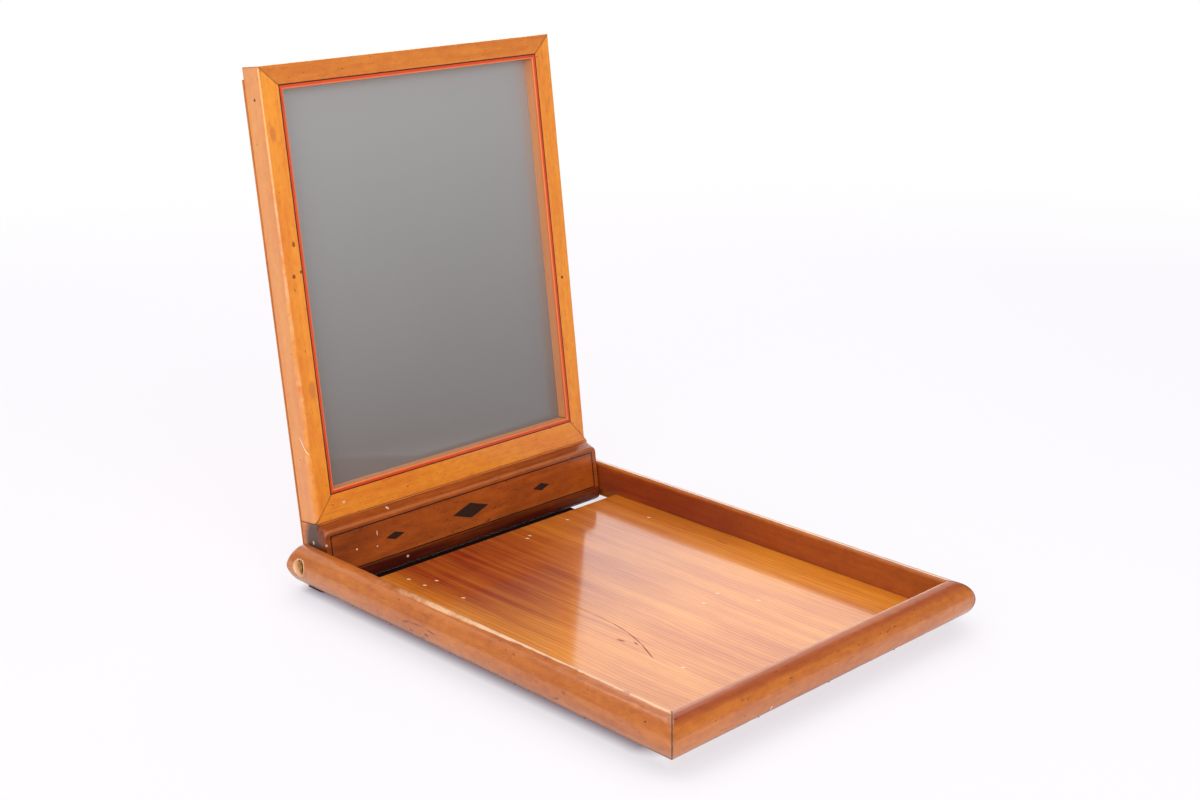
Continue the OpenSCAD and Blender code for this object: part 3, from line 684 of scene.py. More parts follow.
def rounded_corner(before, here, after, radius, arc_steps):
    """Points round one corner, or the corner itself where it has no radius."""
    if radius <= 0:
        return [here]
    before, after = (before - here).normalized(), (after - here).normalized()
    half = before.angle(after) / 2
    centre = here + (before + after).normalized() * radius / sin(half)
    first = here + before * radius / tan(half) - centre
    last = here + after * radius / tan(half) - centre
    sweep = pi - 2 * half
    return [centre + (first * sin(sweep * (1 - k / arc_steps)) + last * sin(sweep * k / arc_steps))
            / sin(sweep) for k in range(arc_steps + 1)]


def outline(corners, spacing=2.5 * MM, arc_steps=ARC_STEPS):
    """Points round a closed section, with a mark of wear and painted highlight for each point.
    A corner is (u, v, radius, wear and highlight)."""
    spots = [Vector(corner[:2]) for corner in corners]
    count = len(corners)
    arcs = [rounded_corner(spots[i - 1], spots[i], spots[(i + 1) % count], corners[i][2], arc_steps)
            for i in range(count)]
    places, marks = [], []
    for i, arc in enumerate(arcs):
        places += arc
        marks += [corners[i][3]] * len(arc)
        nearest = arcs[(i + 1) % count][0]
        pieces = max(2, ceil((spots[(i + 1) % count] - spots[i]).length / spacing))
        length = (nearest - arc[-1]).length
        edge = min(EDGE_BAND / length, EDGE_LIMIT) if length > NO_LENGTH else EDGE_LIMIT
        for k in range(pieces):
            places.append(arc[-1].lerp(nearest, edge + (1 - 2 * edge) * k / (pieces - 1)))
            marks.append(0.0)
    return np.array([tuple(p) for p in places]), np.array(marks)


square = [(u * MM, v * MM, 0, 0) for u, v in ((0, 0), (10, 0), (10, 10), (0, 10))]
print("a square of 10 mm has", len(outline(square)[0]), "points")

# %% [markdown]
# The skin joins rings of points and closes both ends. Each point carries its marks with it:
# its grain vector, its wear and painted highlight, its dirt and painted shade, and its stain
# and painted light. A finished piece then rides on its body, gets a material slot and hides
# the imported node that it stands for.

# %% Skin helpers
END_GAPS = (0.35 * MM, 1.2 * MM)


def mark(mesh, name, kind, values):
    """Writes one named value or vector for each point of a mesh."""
    attribute = mesh.attributes.new(name, kind, "POINT")
    key = "vector" if kind == "FLOAT_VECTOR" else "value"
    attribute.data.foreach_set(key, np.ascontiguousarray(values, np.float32).reshape(-1))


def skin(name, rings, grain, **marks):
    """A closed mesh through rings of points. Each ring has as many points as the next."""
    count, around = rings.shape[:2]
    index = np.arange(count * around).reshape(count, around)
    beside = np.roll(index, -1, axis=1)
    sides = np.stack([index[:-1], beside[:-1], beside[1:], index[1:]], axis=-1).reshape(-1, 4)
    faces = sides.tolist() + [index[0][::-1].tolist(), index[-1].tolist()]
    mesh = bpy.data.meshes.new(name)
    mesh.from_pydata(rings.reshape(-1, 3).tolist(), [], faces)
    mark(mesh, "grain", "FLOAT_VECTOR", grain)
    for key in ("worn", "seam", "stain"):
        mark(mesh, key, "FLOAT", marks.get(key, np.zeros(rings.shape[:2])))
    return mesh


def ramp(values, low, high):
    """A smooth step from 0 to 1 between low and high, or from 1 to 0 if low is the larger."""
    share = np.clip((values - low) / (high - low), 0, 1)
    return share * share * (3 - 2 * share)


def finish_mesh(mesh, sharp=35):
    """Turns every face outwards and shades it smooth up to an angle."""
    work = bmesh.new()
    work.from_mesh(mesh)
    bmesh.ops.recalc_face_normals(work, faces=work.faces)
    work.to_mesh(mesh)
    work.free()
    mesh.polygons.foreach_set("use_smooth", [True] * len(mesh.polygons))
    mesh.set_sharp_from_angle(angle=radians(sharp))
    mesh.update()


def show(name, mesh, material, body, replaced):
    """Adds a finished piece, lets it ride on its body and hides what it stands for."""
    mesh.materials.clear()
    mesh.materials.append(material)
    piece = bpy.data.objects.new(name, mesh)
    bpy.context.scene.collection.objects.link(piece)
    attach(piece, body)
    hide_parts(*replaced)
    print(f"{name}: {len(mesh.polygons)} faces")


def stations(length, spacing):
    """Places along a length, with extra ones near both ends for the joints."""
    near, far = END_GAPS
    inner = list(np.linspace(far, length - far, ceil(length / spacing)))
    return np.array([0, near] + inner + [length - near, length])


def uneven(points, depth, scale, seed):
    """Noise from 0 to depth for each point, as a hand plane and years of use leave it."""
    shift = Vector((seed, seed * 2.3, seed * 3.7))
    values = [noise.noise(Vector(p) * scale + shift) * 0.5 + 0.5 for p in points.reshape(-1, 3)]
    return np.array(values).reshape(points.shape[:-1]) * depth


def axes_at(origin, along, u, v):
    """Matrix that lays a piece's own axes along three directions, from an origin."""
    return Matrix.Translation(origin) @ Matrix((along, u, v)).transposed().to_4x4()


print("a stile has", len(stations(stile_high.z - stile_low.z, 4 * MM)), "rings")

# %% [markdown]
# ## The leaf's frame
#
# Four members meet in mitres. Each is a rebated bar, rounded along its outer front arris.
# The rounding grows towards the foot, where hands have lifted the leaf for years, so the
# outline is made afresh at every station. The wall of the sight and the members' outer sides
# have a painted sheen, paler and pinker than the wood.

# %% Frame members
PLANED = 0.22 * MM
PLANE_DEPTH, PLANE_MARKS_PER_M = 0.12 * MM, 45
# How strongly a painted sheen shows on the wall of the sight and on the outer side
SIGHT_WALL_SHEEN, SIDE_SHEEN = 0.9, 0.4
FACE_Y = stile_low.y
SIDE_LOW, SIDE_HIGH = stile_low.z, stile_high.z
STILE_ARRIS, TOP_ARRIS, BOTTOM_ARRIS = (3.2 * MM, 0.5 * MM), (0.4 * MM, 0.4 * MM), (0.2 * MM, 0.2 * MM)


def member_corners(width, arris, worn):
    """Section of a member: u from its outer edge to the sight, v into the depth."""
    inner = width - LINE_W
    return [(PLANED, 0, arris, worn), (inner, 0, 0, 0.0), (inner, LINE_T, 0, 0), (width, LINE_T, 0, 0),
            (width, RECESS, 0, 0), (width - REBATE_W, RECESS, 0, 0), (width - REBATE_W, FRAME_T, 0, 0),
            (PLANED, FRAME_T, 0.3 * MM, 0.3)]


def member(name, width, slopes, ends, axes, arris, rubbed, seed, material, replaced):
    """One mitred member. Slopes say how far each end runs in per unit of width. The arris
    and the wear are given for the low end and the high end."""
    low, high = ends
    rows, marks = [], []
    for at in stations(high - low, 4 * MM):
        share = at / (high - low)
        radius = arris[1] + (arris[0] - arris[1]) * (1 - share) ** 1.5
        wear = rubbed[0] + (rubbed[1] - rubbed[0]) * share
        section, worn = outline(member_corners(width, radius, wear))
        u, v = section[:, 0], section[:, 1]
        start, stop = low + slopes[0] * u, high - slopes[1] * u
        rows.append(np.stack([start + (stop - start) * share, u, v], axis=1))
        marks.append(worn)
    rings = np.array(rows)
    seam = np.zeros(rings.shape[:2])
    seam[[0, -1]] = 0.8
    seam[[1, -2]] = 0.4
    u, v = rings[..., 1], rings[..., 2]
    wall = (u > width - 0.3 * MM) & (v > 0.7 * LINE_T) & (v < RECESS + 0.1 * MM)
    outer_side = (u < 0.6 * MM) & (v > 1.5 * MM)
    grain = rings + np.array(shift_of(seed))
    inward = np.array([width / 2, FRAME_T / 2]) - rings[..., 1:]
    inward /= np.linalg.norm(inward, axis=-1, keepdims=True)
    rings[..., 1:] += inward * uneven(rings, PLANE_DEPTH, PLANE_MARKS_PER_M, seed)[..., None]
    # A painted sheen on the wall of the sight and on the outer side
    stain = SIGHT_WALL_SHEEN * wall + SIDE_SHEEN * outer_side
    mesh = skin(name, rings, grain, worn=np.array(marks), seam=seam, stain=stain)
    mesh.transform(LEAF @ axes_at(*axes))
    finish_mesh(mesh)
    show(name, mesh, material, "leaf", replaced)


# The left stile's front arris is paler than the right one's, most at the top: wear with a painted highlight
# along it
for side, seed, rubbed, node in ((-1, LEFT_STILE, (0.5, 0.95), "left_stile"),
                                 (1, RIGHT_STILE, (0.4, 0.4), "right_stile")):
    member(f"{node}_shaped", STILE_W, (BOTTOM_W / STILE_W, TOP_W / STILE_W), (SIDE_LOW, SIDE_HIGH),
           ((side * HALF_LEAF, FACE_Y, 0), (0, 0, 1), (-side, 0, 0), (0, 1, 0)),
           STILE_ARRIS, rubbed, seed, FRAME_WOOD, [node])
for name, width, height, inwards, arris, rubbed, seed, material, node in (
        ("top_rail_shaped", TOP_W, SIDE_HIGH, -1, TOP_ARRIS, (0.3, 0.3), TOP_RAIL, TOP_WOOD,
         "frame_top_rail"),
        ("bottom_rail_shaped", BOTTOM_W, SIDE_LOW, 1, BOTTOM_ARRIS, (0, 0), BOTTOM_RAIL, FRAME_WOOD,
         "frame_bottom_rail")):
    member(name, width, (STILE_W / width, STILE_W / width), (-HALF_LEAF, HALF_LEAF),
           ((0, FACE_Y, height), (1, 0, 0), (0, 0, inwards), (0, 1, 0)),
           arris, rubbed, seed, material, [node])

# %% [markdown]
# ## The red line
#
# Four red strips frame the sight. Each one's inner arris is rubbed round and carries a
# painted highlight, which is what makes the line glow.

# %% Red strips
RED_W = stile_high.x - red_low.x
RED_ARRIS = 0.7 * MM


def red_strip(low, high, axes, seed):
    """One strip as rings: u runs inwards from the dark line, v into the depth."""
    corners = [(0, 0, 0, 0), (RED_W, 0, RED_ARRIS, 1.0), (RED_W, LINE_T, 0, 0), (0, LINE_T, 0, 0)]
    section, worn = outline(corners, 0.8 * MM)
    u, v = section[:, 0], section[:, 1]
    rows = [np.stack([low + u + (high - low - 2 * u) * at / (high - low), u, v], axis=1)
            for at in stations(high - low, 6 * MM)]
    rings = np.array(rows)
    # A painted highlight along the inner arris, carried by the stain mark
    bright = np.tile(ramp(u, RED_W - 0.9 * MM, RED_W - 0.2 * MM), (len(rows), 1))
    grain = rings + np.array([seed * 0.21, seed * 0.05, 0.3])
    mesh = skin("red_strip", rings, grain, worn=np.tile(worn, (len(rows), 1)), stain=bright)
    mesh.transform(LEAF @ axes_at(*axes))
    return mesh


red_x, red_y, red_bottom, red_top = -red_low.x, red_low.y, red_low.z, red_high.z
strips = (
    (red_bottom, red_top, ((-red_x, red_y, 0), (0, 0, 1), (1, 0, 0), (0, 1, 0))),
    (red_bottom, red_top, ((red_x, red_y, 0), (0, 0, 1), (-1, 0, 0), (0, 1, 0))),
    (-red_x, red_x, ((0, red_y, red_top), (1, 0, 0), (0, 0, -1), (0, 1, 0))),
    (-red_x, red_x, ((0, red_y, red_bottom), (1, 0, 0), (0, 0, 1), (0, 1, 0))),
)
joined = bmesh.new()
for number, (low, high, axes) in enumerate(strips, 1):
    joined.from_mesh(red_strip(low, high, axes, float(number)))
mesh = bpy.data.meshes.new("red_line_shaped")
joined.to_mesh(mesh)
joined.free()
finish_mesh(mesh)
show("red_line_shaped", mesh, RED_LINE, "leaf", ["red_stringing"])

# %% [markdown]
# ## The plaque
#
# The plaque is a thin board planted on the foot. Its top slopes like a small sill, its
# upper corners are rounded, and its lower front edge follows the foot's round, so that it
# clears the table when the leaf is folded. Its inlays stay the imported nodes.

# %% Plaque board
CORNER_R = 3.0 * MM
SLOPE = 3.7 * MM
PIVOT_TO_FACE = -plaque_high.y
ROUND_STEPS = 4


def plaque_corners():
    """Section of the plaque: u from the frame's face forwards, v up the leaf."""
    thick = plaque_high.y - plaque_low.y
    arc = []
    for k in range(ROUND_STEPS + 1):
        u = thick * k / ROUND_STEPS
        arc.append((u, -sqrt(max(SWING ** 2 - (PIVOT_TO_FACE + u) ** 2, 0)), 0, 0.2))
    top = plaque_high.z
    return arc + [(thick, top - SLOPE, 1.6 * MM, 1.0), (0, top, 0.5 * MM, 0.5)]


section, worn = outline(plaque_corners(), 1.5 * MM)
rows = []
for at in stations(2 * HALF_LEAF, 3 * MM):
    u, v = section[:, 0], section[:, 1]
    near = max(0.0, CORNER_R - min(at, 2 * HALF_LEAF - at))
    drop = CORNER_R - sqrt(CORNER_R ** 2 - near ** 2)
    lowered = v - drop * np.clip(v / plaque_high.z, 0, 1)
    rows.append(np.stack([np.full(len(u), at - HALF_LEAF), -u, lowered], axis=1))
rings = np.array(rows)
seam = np.zeros(rings.shape[:2])
seam[[0, -1]] = 0.5
grain = rings + np.array(PLAQUE_SHIFT)
# Painted shade: darker towards the left end, below the inlaid line, and on the sloping sill
painted_shade_left_end = 0.5 * ramp(rings[..., 0], -60 * MM, -108 * MM)
painted_shade_below_line = ramp(rings[..., 2], -7 * MM, -9 * MM)
sill_z = plaque_high.z - SLOPE
painted_shade_on_sill = 0.3 * ramp(rings[..., 2], sill_z - 0.6 * MM, sill_z + 0.3 * MM)
stain = np.maximum(np.maximum(painted_shade_left_end, painted_shade_below_line), painted_shade_on_sill)
front_side = rings[..., 1] < -1 * MM
rings[..., 1] += front_side * (0.04 * MM + uneven(rings, 0.12 * MM, 60, 9.0))
rings[..., 2] -= (rings[..., 2] > 15 * MM) * uneven(rings, 0.5 * MM, 120, 10.0)
mesh = skin("plaque_shaped", rings, grain, worn=np.tile(worn, (len(rows), 1)), seam=seam, stain=stain)
mesh.transform(LEAF @ Matrix.Translation((0, plaque_high.y, 0)))
finish_mesh(mesh)
show("plaque_shaped", mesh, PLAQUE_WOOD, "leaf", ["plaque_board"])

# %% [markdown]
# ## The tray's rails, by geometry nodes
#
# The three rails are one moulding cut to length: an inner wall, a narrow flat, and a full
# half round. A geometry tree carries the outline along a line, shears each end to its
# mitre, rounds the free end over, and presses shallow dents into it. The outline's own
# place and the share of the length are captured before they are swept, so the tree can
# put each point where a formula says, however the line is turned.

# %% Sweep of a rail
GEOMETRY, OBJECT, MATERIAL = "NodeSocketGeometry", "NodeSocketObject", "NodeSocketMaterial"
BROAD_DENTS, FINE_DENTS = {"Scale": 28.0, "Detail": 2.0}, {"Scale": 150.0, "Detail": 1.0}


def geometry_tree(name, inputs):
    """An empty geometry tree with its sockets: the tree, what it is given, and its end node."""
    tree = bpy.data.node_groups.new(name, "GeometryNodeTree")
    for socket, kind in inputs:
        tree.interface.new_socket(socket, in_out="INPUT", socket_type=kind)
    tree.interface.new_socket("Geometry", in_out="OUTPUT", socket_type=GEOMETRY)
    return tree, tree.nodes.new("NodeGroupInput").outputs, tree.nodes.new("NodeGroupOutput")


def captured(tree, geometry, kind, name, value):
    """Geometry that keeps a value on its points, and that value."""
    keep = tree.nodes.new("GeometryNodeCaptureAttribute")
    keep.capture_items.new(kind, name)
    tree.links.new(geometry, keep.inputs[0])
    tree.links.new(value, keep.inputs[1])
    return keep.outputs[0], keep.outputs[1]


def object_geometry(tree, thing):
    """The geometry of an object that the tree is given."""
    return put(tree, "GeometryNodeObjectInfo", {"Object": thing}).outputs["Geometry"]


def swept_rail(tree, given):
    """The outline carried along the rail, with its mitres, its round end and its dents."""
    profile, section = captured(tree, object_geometry(tree, given["Profile"]), "VECTOR", "Section",
                                put(tree, "GeometryNodeInputPosition").outputs[0])
    line = put(tree, "GeometryNodeCurvePrimitiveLine").outputs[0]
    line = put(tree, "GeometryNodeResampleCurve", {"Curve": line, "Count": given["Stations"]}).outputs[0]
    line, even = captured(tree, line, "FLOAT", "Share",
                          put(tree, "GeometryNodeSplineParameter").outputs["Factor"])
    swept = put(tree, "GeometryNodeCurveToMesh", {
        "Curve": line, "Profile Curve": profile, "Fill Caps": True}).outputs[0]

    width, height = split(tree, section)["X"], split(tree, section)["Y"]
    wave = maths(tree, "SINE", maths(tree, "MULTIPLY", even, 2 * pi))
    wave = maths(tree, "MULTIPLY", wave, given["Crowding"], 1 / (2 * pi))
    share = maths(tree, "SUBTRACT", even, wave)
    start = maths(tree, "MULTIPLY", given["Start Mitre"], width, -1.0)
    stop = maths(tree, "ADD", given["Length"], maths(tree, "MULTIPLY", given["End Mitre"], width))
    along = maths(tree, "ADD", start, maths(tree, "MULTIPLY", share, maths(tree, "SUBTRACT", stop, start)))

    short = maths(tree, "MAXIMUM", maths(tree, "SUBTRACT", given["Round"], along), 0.0)
    squares = maths(tree, "SUBTRACT", maths(tree, "POWER", given["Round"], 2.0),
                    maths(tree, "POWER", short, 2.0))
    drop = maths(tree, "SUBTRACT", given["Round"],
                 maths(tree, "SQRT", maths(tree, "MAXIMUM", squares, 0.0)))
    half = maths(tree, "MULTIPLY", given["Height"], 0.5)
    squeeze = maths(tree, "SUBTRACT", 1.0, maths(tree, "DIVIDE", drop, half))

    place = put(tree, "ShaderNodeCombineXYZ", {0: along, 1: width, 2: height}).outputs[0]
    broad, fine = [put(tree, "ShaderNodeTexNoise", {"Vector": place, "W": given["Seed"], **dents},
                       noise_dimensions="4D").outputs["Fac"] for dents in (BROAD_DENTS, FINE_DENTS)]
    dent = maths(tree, "ADD", maths(tree, "MULTIPLY", broad, 0.5), remap(tree, fine, 0.58, 0.8))
    press = maths(tree, "SUBTRACT", 1.0, maths(tree, "MULTIPLY", dent, given["Dents"]))
    tall = maths(tree, "MULTIPLY", maths(tree, "SUBTRACT", height, half),
                 maths(tree, "MULTIPLY", squeeze, press))
    target = put(tree, "ShaderNodeCombineXYZ", {
        0: along, 1: maths(tree, "MULTIPLY", width, press), 2: maths(tree, "ADD", tall, half)}).outputs[0]
    return put(tree, "GeometryNodeSetPosition", {"Geometry": swept, "Position": target}).outputs[0]


print("sweep ready")

# %% [markdown]
# ## Wear and dirt on the rails
#
# The side rails are rubbed pale along their upper arris, in a band that starts broad and
# faint near the hinge and ends thin and bright at the front; the band is wear with a painted
# highlight on it. The front rail is rubbed less, and its crest is darker, a painted dark
# reflection. Dirt sits in the mitres, painted shade lies under the side rails, and round a
# screw's hole the polish is gone. Each of these is a formula on the point's place along,
# across and up the rail, so no mark needs an image, and all of them are written once the
# rail is bored.

# %% Marks of a rail
# Widths of the pale band on the rails' upper arris, which is wear with a painted highlight
BAND_REAR, BAND_FRONT, FRONT_BAND = 1.9 * MM, 0.45 * MM, 0.2 * MM
GROOVE_DIRT, MITRE_RUB = (0.3 * MM, 1.4 * MM), (1.2 * MM, 3.0 * MM)
HOLE_RIM, HOLE_INSIDE, HOLE_DEPTH = (5.4 * MM, 6.8 * MM), (5.6 * MM, 6.2 * MM), (0.7 * MM, 1.6 * MM)


def fade(tree, value, span, strength=1.0):
    """The strength up to the span's low end, and nothing past its high end."""
    return remap(tree, value, *span, strength, 0.0)


def place_on_rail(tree, given):
    """Named distances of a point on a rail."""
    spot = put(tree, "GeometryNodeInputPosition").outputs[0]
    part = split(tree, spot)
    along, width, height = part["X"], part["Y"], part["Z"]
    run_out = maths(tree, "MULTIPLY", given["End Mitre"], width)
    run_in = maths(tree, "MULTIPLY", given["Start Mitre"], width)
    away = vector_maths(tree, "SUBTRACT", spot, given["Hole"])
    return {
        "spot": spot, "width": width, "height": height,
        "below": maths(tree, "SUBTRACT", given["Height"], height),
        "forward": maths(tree, "DIVIDE", along, given["Length"]),
        "from_stop": maths(tree, "SUBTRACT", maths(tree, "ADD", given["Length"], run_out), along),
        "from_start": maths(tree, "ADD", along, run_in),
        "from_hole": length_of(tree, vector_maths(tree, "MULTIPLY", away, (1, 0, 1))),
        "sunk": maths(tree, "SUBTRACT", split(tree, given["Hole"])["Y"], width),
    }


def wear_and_crest_highlight_mark(tree, given, at, is_front, is_side):
    """Where the polish is rubbed off: upper arris, which also carries a painted highlight, mitres, and the
    hole with its rim.
    """
    # The upper arris band is wear with a painted highlight on it
    band = maths(tree, "MULTIPLY", remap(tree, at["forward"], 0.35, 0.65, BAND_REAR, BAND_FRONT), is_side)
    band = maths(tree, "ADD", band, maths(tree, "MULTIPLY", is_front, FRONT_BAND))
    shoulder = fade(tree, maths(tree, "DIVIDE", at["below"], band), (0.5, 1.0))
    shoulder = maths(tree, "MULTIPLY", shoulder, remap(tree, at["width"], 0.6 * MM, 1.6 * MM))
    rubbed_and_highlighted = maths(tree, "MULTIPLY", remap(tree, at["forward"], 0.08, 0.6, 0.2, 1.0), is_side)
    rubbed_and_highlighted = maths(tree, "ADD", rubbed_and_highlighted, maths(tree, "MULTIPLY", is_front, 0.5))
    inside = maths(tree, "MULTIPLY", fade(tree, at["from_hole"], HOLE_INSIDE),
                   remap(tree, at["sunk"], *HOLE_DEPTH), 0.8)
    return maths(tree, "MAXIMUM", maths(tree, "MULTIPLY", shoulder, rubbed_and_highlighted),
                 maths(tree, "MULTIPLY", fade(tree, at["from_stop"], MITRE_RUB, 0.6), given["End Mitre"]),
                 maths(tree, "MULTIPLY", fade(tree, at["from_start"], MITRE_RUB, 0.6), given["Start Mitre"]),
                 inside, fade(tree, at["from_hole"], HOLE_RIM, 0.9))


def seam_dirt_and_underside_shade_mark(tree, given, at, is_side):
    """Dirt in the mitres, and painted shade under the side rails."""
    # Painted shade on the side rails' underside
    painted_underside_shade = maths(tree, "MULTIPLY", fade(tree, at["height"], (2.2 * MM, 6.0 * MM)), is_side,
                   remap(tree, at["width"], 3.0 * MM, 4.0 * MM))
    return maths(tree, "MAXIMUM", painted_underside_shade,
                 maths(tree, "MULTIPLY", fade(tree, at["from_stop"], GROOVE_DIRT, 0.85), given["End Mitre"]),
                 maths(tree, "MULTIPLY", fade(tree, at["from_start"], GROOVE_DIRT, 0.85),
                       given["Start Mitre"]))


def wall_stain_and_crest_reflection_mark(tree, at, is_front):
    """Where the wood is darker: a stain on the inner wall, and a painted dark reflection on the front rail's
    crest.
    """
    wall = maths(tree, "MULTIPLY", fade(tree, at["width"], (0.3 * MM, 1.2 * MM)),
                 remap(tree, at["below"], 1.0 * MM, 3.0 * MM), remap(tree, at["forward"], 0.3, 1.0, 1.0, 0.4))
    # A painted dark reflection on the front rail's crest
    crest = maths(tree, "MULTIPLY", remap(tree, at["width"], 1.6 * MM, 3.4 * MM),
                  remap(tree, at["below"], 1.6 * MM, 5.0 * MM, 0.7, 0.0, smooth=True), is_front)
    return maths(tree, "MAXIMUM", wall, crest)


print("rail marks ready")

# %% [markdown]
# ## The whole rail tree
#
# A ragged plug bores the hole where the left and right screws' heads lie. The front rail has
# none, so a switch passes it by. Then the marks are written on the points, and the tree
# ends with a material. Running it on an empty mesh gives a plain mesh, which keeps nothing
# of the tree.

# %% Rail tree
def finish_tree(tree, end, geometry, material):
    """Ends a tree: no instances left, and one material."""
    real = put(tree, "GeometryNodeRealizeInstances", {0: geometry}).outputs[0]
    done = put(tree, "GeometryNodeSetMaterial", {"Geometry": real, "Material": material}).outputs[0]
    tree.links.new(done, end.inputs[0])


def rail_tree():
    """The moulding from its outline to its marks and its material."""
    tree, given, end = geometry_tree("half_round_rail", (
        ("Profile", OBJECT), ("Length", FLOAT), ("Start Mitre", FLOAT), ("End Mitre", FLOAT),
        ("Stations", "NodeSocketInt"), ("Crowding", FLOAT), ("Round", FLOAT), ("Height", FLOAT),
        ("Dents", FLOAT), ("Seed", FLOAT), ("Bored", "NodeSocketBool"), ("Cutter", OBJECT),
        ("Hole", VECTOR), ("Material", MATERIAL)))
    body = swept_rail(tree, given)
    bored = put(tree, "GeometryNodeMeshBoolean", operation="DIFFERENCE", solver="MANIFOLD")
    tree.links.new(body, bored.inputs[0])
    tree.links.new(object_geometry(tree, given["Cutter"]), bored.inputs[1])
    body = put(tree, "GeometryNodeSwitch", {
        "Switch": given["Bored"], "False": body, "True": bored.outputs[0]},
        input_type="GEOMETRY").outputs[0]

    at = place_on_rail(tree, given)
    is_front = given["Start Mitre"]
    is_side = maths(tree, "SUBTRACT", 1.0, is_front)
    marks = (("grain", "FLOAT_VECTOR", vector_maths(tree, "ADD", at["spot"], given["Seed"])),
             ("worn", "FLOAT", wear_and_crest_highlight_mark(tree, given, at, is_front, is_side)),
             ("seam", "FLOAT", seam_dirt_and_underside_shade_mark(tree, given, at, is_side)),
             ("stain", "FLOAT", wall_stain_and_crest_reflection_mark(tree, at, is_front)))
    for name, kind, value in marks:
        body = put(tree, "GeometryNodeStoreNamedAttribute", {"Geometry": body, "Name": name, "Value": value},
                   data_type=kind, domain="POINT").outputs[0]
    finish_tree(tree, end, body, given["Material"])
    return tree


def grown(tree, name, base, values):
    """Runs a geometry tree on a base mesh and returns the result as a plain mesh."""
    seed_object = bpy.data.objects.new(f"{name}_base", base)
    bpy.context.scene.collection.objects.link(seed_object)
    modifier = seed_object.modifiers.new("grow", "NODES")
    modifier.node_group = tree
    for item in tree.interface.items_tree:
        if item.item_type == "SOCKET" and item.in_out == "INPUT" and item.name in values:
            modifier[item.identifier] = values[item.name]
    bpy.context.view_layer.update()
    seen = seed_object.evaluated_get(bpy.context.evaluated_depsgraph_get())
    mesh = bpy.data.meshes.new_from_object(seen)
    mesh.name = name
    seed_object.modifiers.remove(modifier)
    bpy.data.objects.remove(seed_object)
    return mesh


RAIL_TREE = rail_tree()
print("rail tree:", len(RAIL_TREE.nodes), "nodes")

# %% [markdown]
# ## Outline, plug and the three rails
#
# The outline is a closed curve with a lap for the floor's groove. The plug is a cylinder
# that grows rough and wider near the rail's surface, as a hole does that a screwdriver has
# slipped in. Both are helpers: they are removed once the rails are made.

# %% Rails
RAIL_ARRIS = 2.0 * MM
HEAD_HOLE = 4.8 * MM
WEB = 6.5 * MM
PLUG_OUT = 1 * MM
STRAIGHT_SHARE = 0.45
REAR_ROUND = 5.0 * MM
ROUND_SHARE = 0.999


def rail_outline():
    """The moulding's section as a closed curve, X outwards and Y up."""
    radius = RAIL_H / 2 * ROUND_SHARE
    corners = [(LAP, 0, 0, 0), (LAP, FLOOR_T, 0, 0), (0, FLOOR_T, 0, 0), (0, RAIL_H, RAIL_ARRIS, 0),
               (RAIL_W, RAIL_H, radius, 0), (RAIL_W, 0, radius, 0)]
    points, _ = outline(corners, 1.6 * MM, 14)
    curve = bpy.data.curves.new("rail_outline", "CURVE")
    spline = curve.splines.new("POLY")
    spline.points.add(len(points) - 1)
    for point, (u, v) in zip(spline.points, points):
        point.co = (u, v, 0, 1)
    spline.use_cyclic_u = True
    return bpy.data.objects.new("rail_outline", curve)


def plug(along, up, seed, around=40, depths=12):
    """A ragged cylinder across a rail, which widens towards the rail's surface."""
    rings = np.zeros((depths, around, 3))
    for k in range(depths):
        out = WEB + (RAIL_W + PLUG_OUT - WEB) * k / (depths - 1)
        opening = max(0.0, (out - WEB) / (RAIL_W - WEB) - STRAIGHT_SHARE) / (1 - STRAIGHT_SHARE)
        for j in range(around):
            angle = 2 * pi * j / around
            rough = noise.noise(Vector((cos(angle) * 1.6, sin(angle) * 1.6, out * 260 + seed)))
            radius = HEAD_HOLE + opening ** 2 * (0.55 + 0.75 * rough) * MM
            rings[k, j] = along + radius * cos(angle), out, up + radius * sin(angle)
    mesh = skin("plug", rings, rings)
    finish_mesh(mesh)
    return bpy.data.objects.new("plug", mesh)


side_length = rail_high.y - front_high.y
hole_along, hole_up = rail_high.y - PIVOT.y, PIVOT.z - rail_low.z
OUTLINE, PLUG = rail_outline(), plug(hole_along, hole_up, 3.0)
for helper in (OUTLINE, PLUG):
    bpy.context.scene.collection.objects.link(helper)
# The front rail has no hole, so its hole's mark lies a metre off
NO_HOLE = -1.0
rails = (
    ("left_rail_shaped", side_length, 0.0, REAR_ROUND, LEFT_RAIL, "left_side_rail", hole_along,
     ((-WALL_X, rail_high.y, rail_low.z), (0, -1, 0), (-1, 0, 0), (0, 0, 1))),
    ("right_rail_shaped", side_length, 0.0, REAR_ROUND, RIGHT_RAIL, "right_side_rail", hole_along,
     ((WALL_X, rail_high.y, rail_low.z), (0, -1, 0), (1, 0, 0), (0, 0, 1))),
    ("front_rail_shaped", 2 * WALL_X, 1.0, 0.0, FRONT_RAIL, "front_rail", NO_HOLE,
     ((-WALL_X, front_high.y, rail_low.z), (1, 0, 0), (0, -1, 0), (0, 0, 1))),
)
for name, length, start_mitre, rounding, seed, node, hole, axes in rails:
    values = {"Profile": OUTLINE, "Length": length, "Start Mitre": start_mitre, "End Mitre": 1.0,
              "Stations": 170, "Crowding": 0.88, "Round": rounding, "Height": RAIL_H, "Dents": 0.02,
              "Seed": seed, "Bored": hole > 0, "Cutter": PLUG, "Hole": (hole, RAIL_W, hole_up),
              "Material": RAIL_WOOD}
    mesh = grown(RAIL_TREE, name, bpy.data.meshes.new(f"{name}_start"), values)
    mesh.transform(axes_at(*axes))
    finish_mesh(mesh)
    show(name, mesh, RAIL_WOOD, "tray", [node])
for helper in (OUTLINE, PLUG):
    bpy.data.objects.remove(helper)

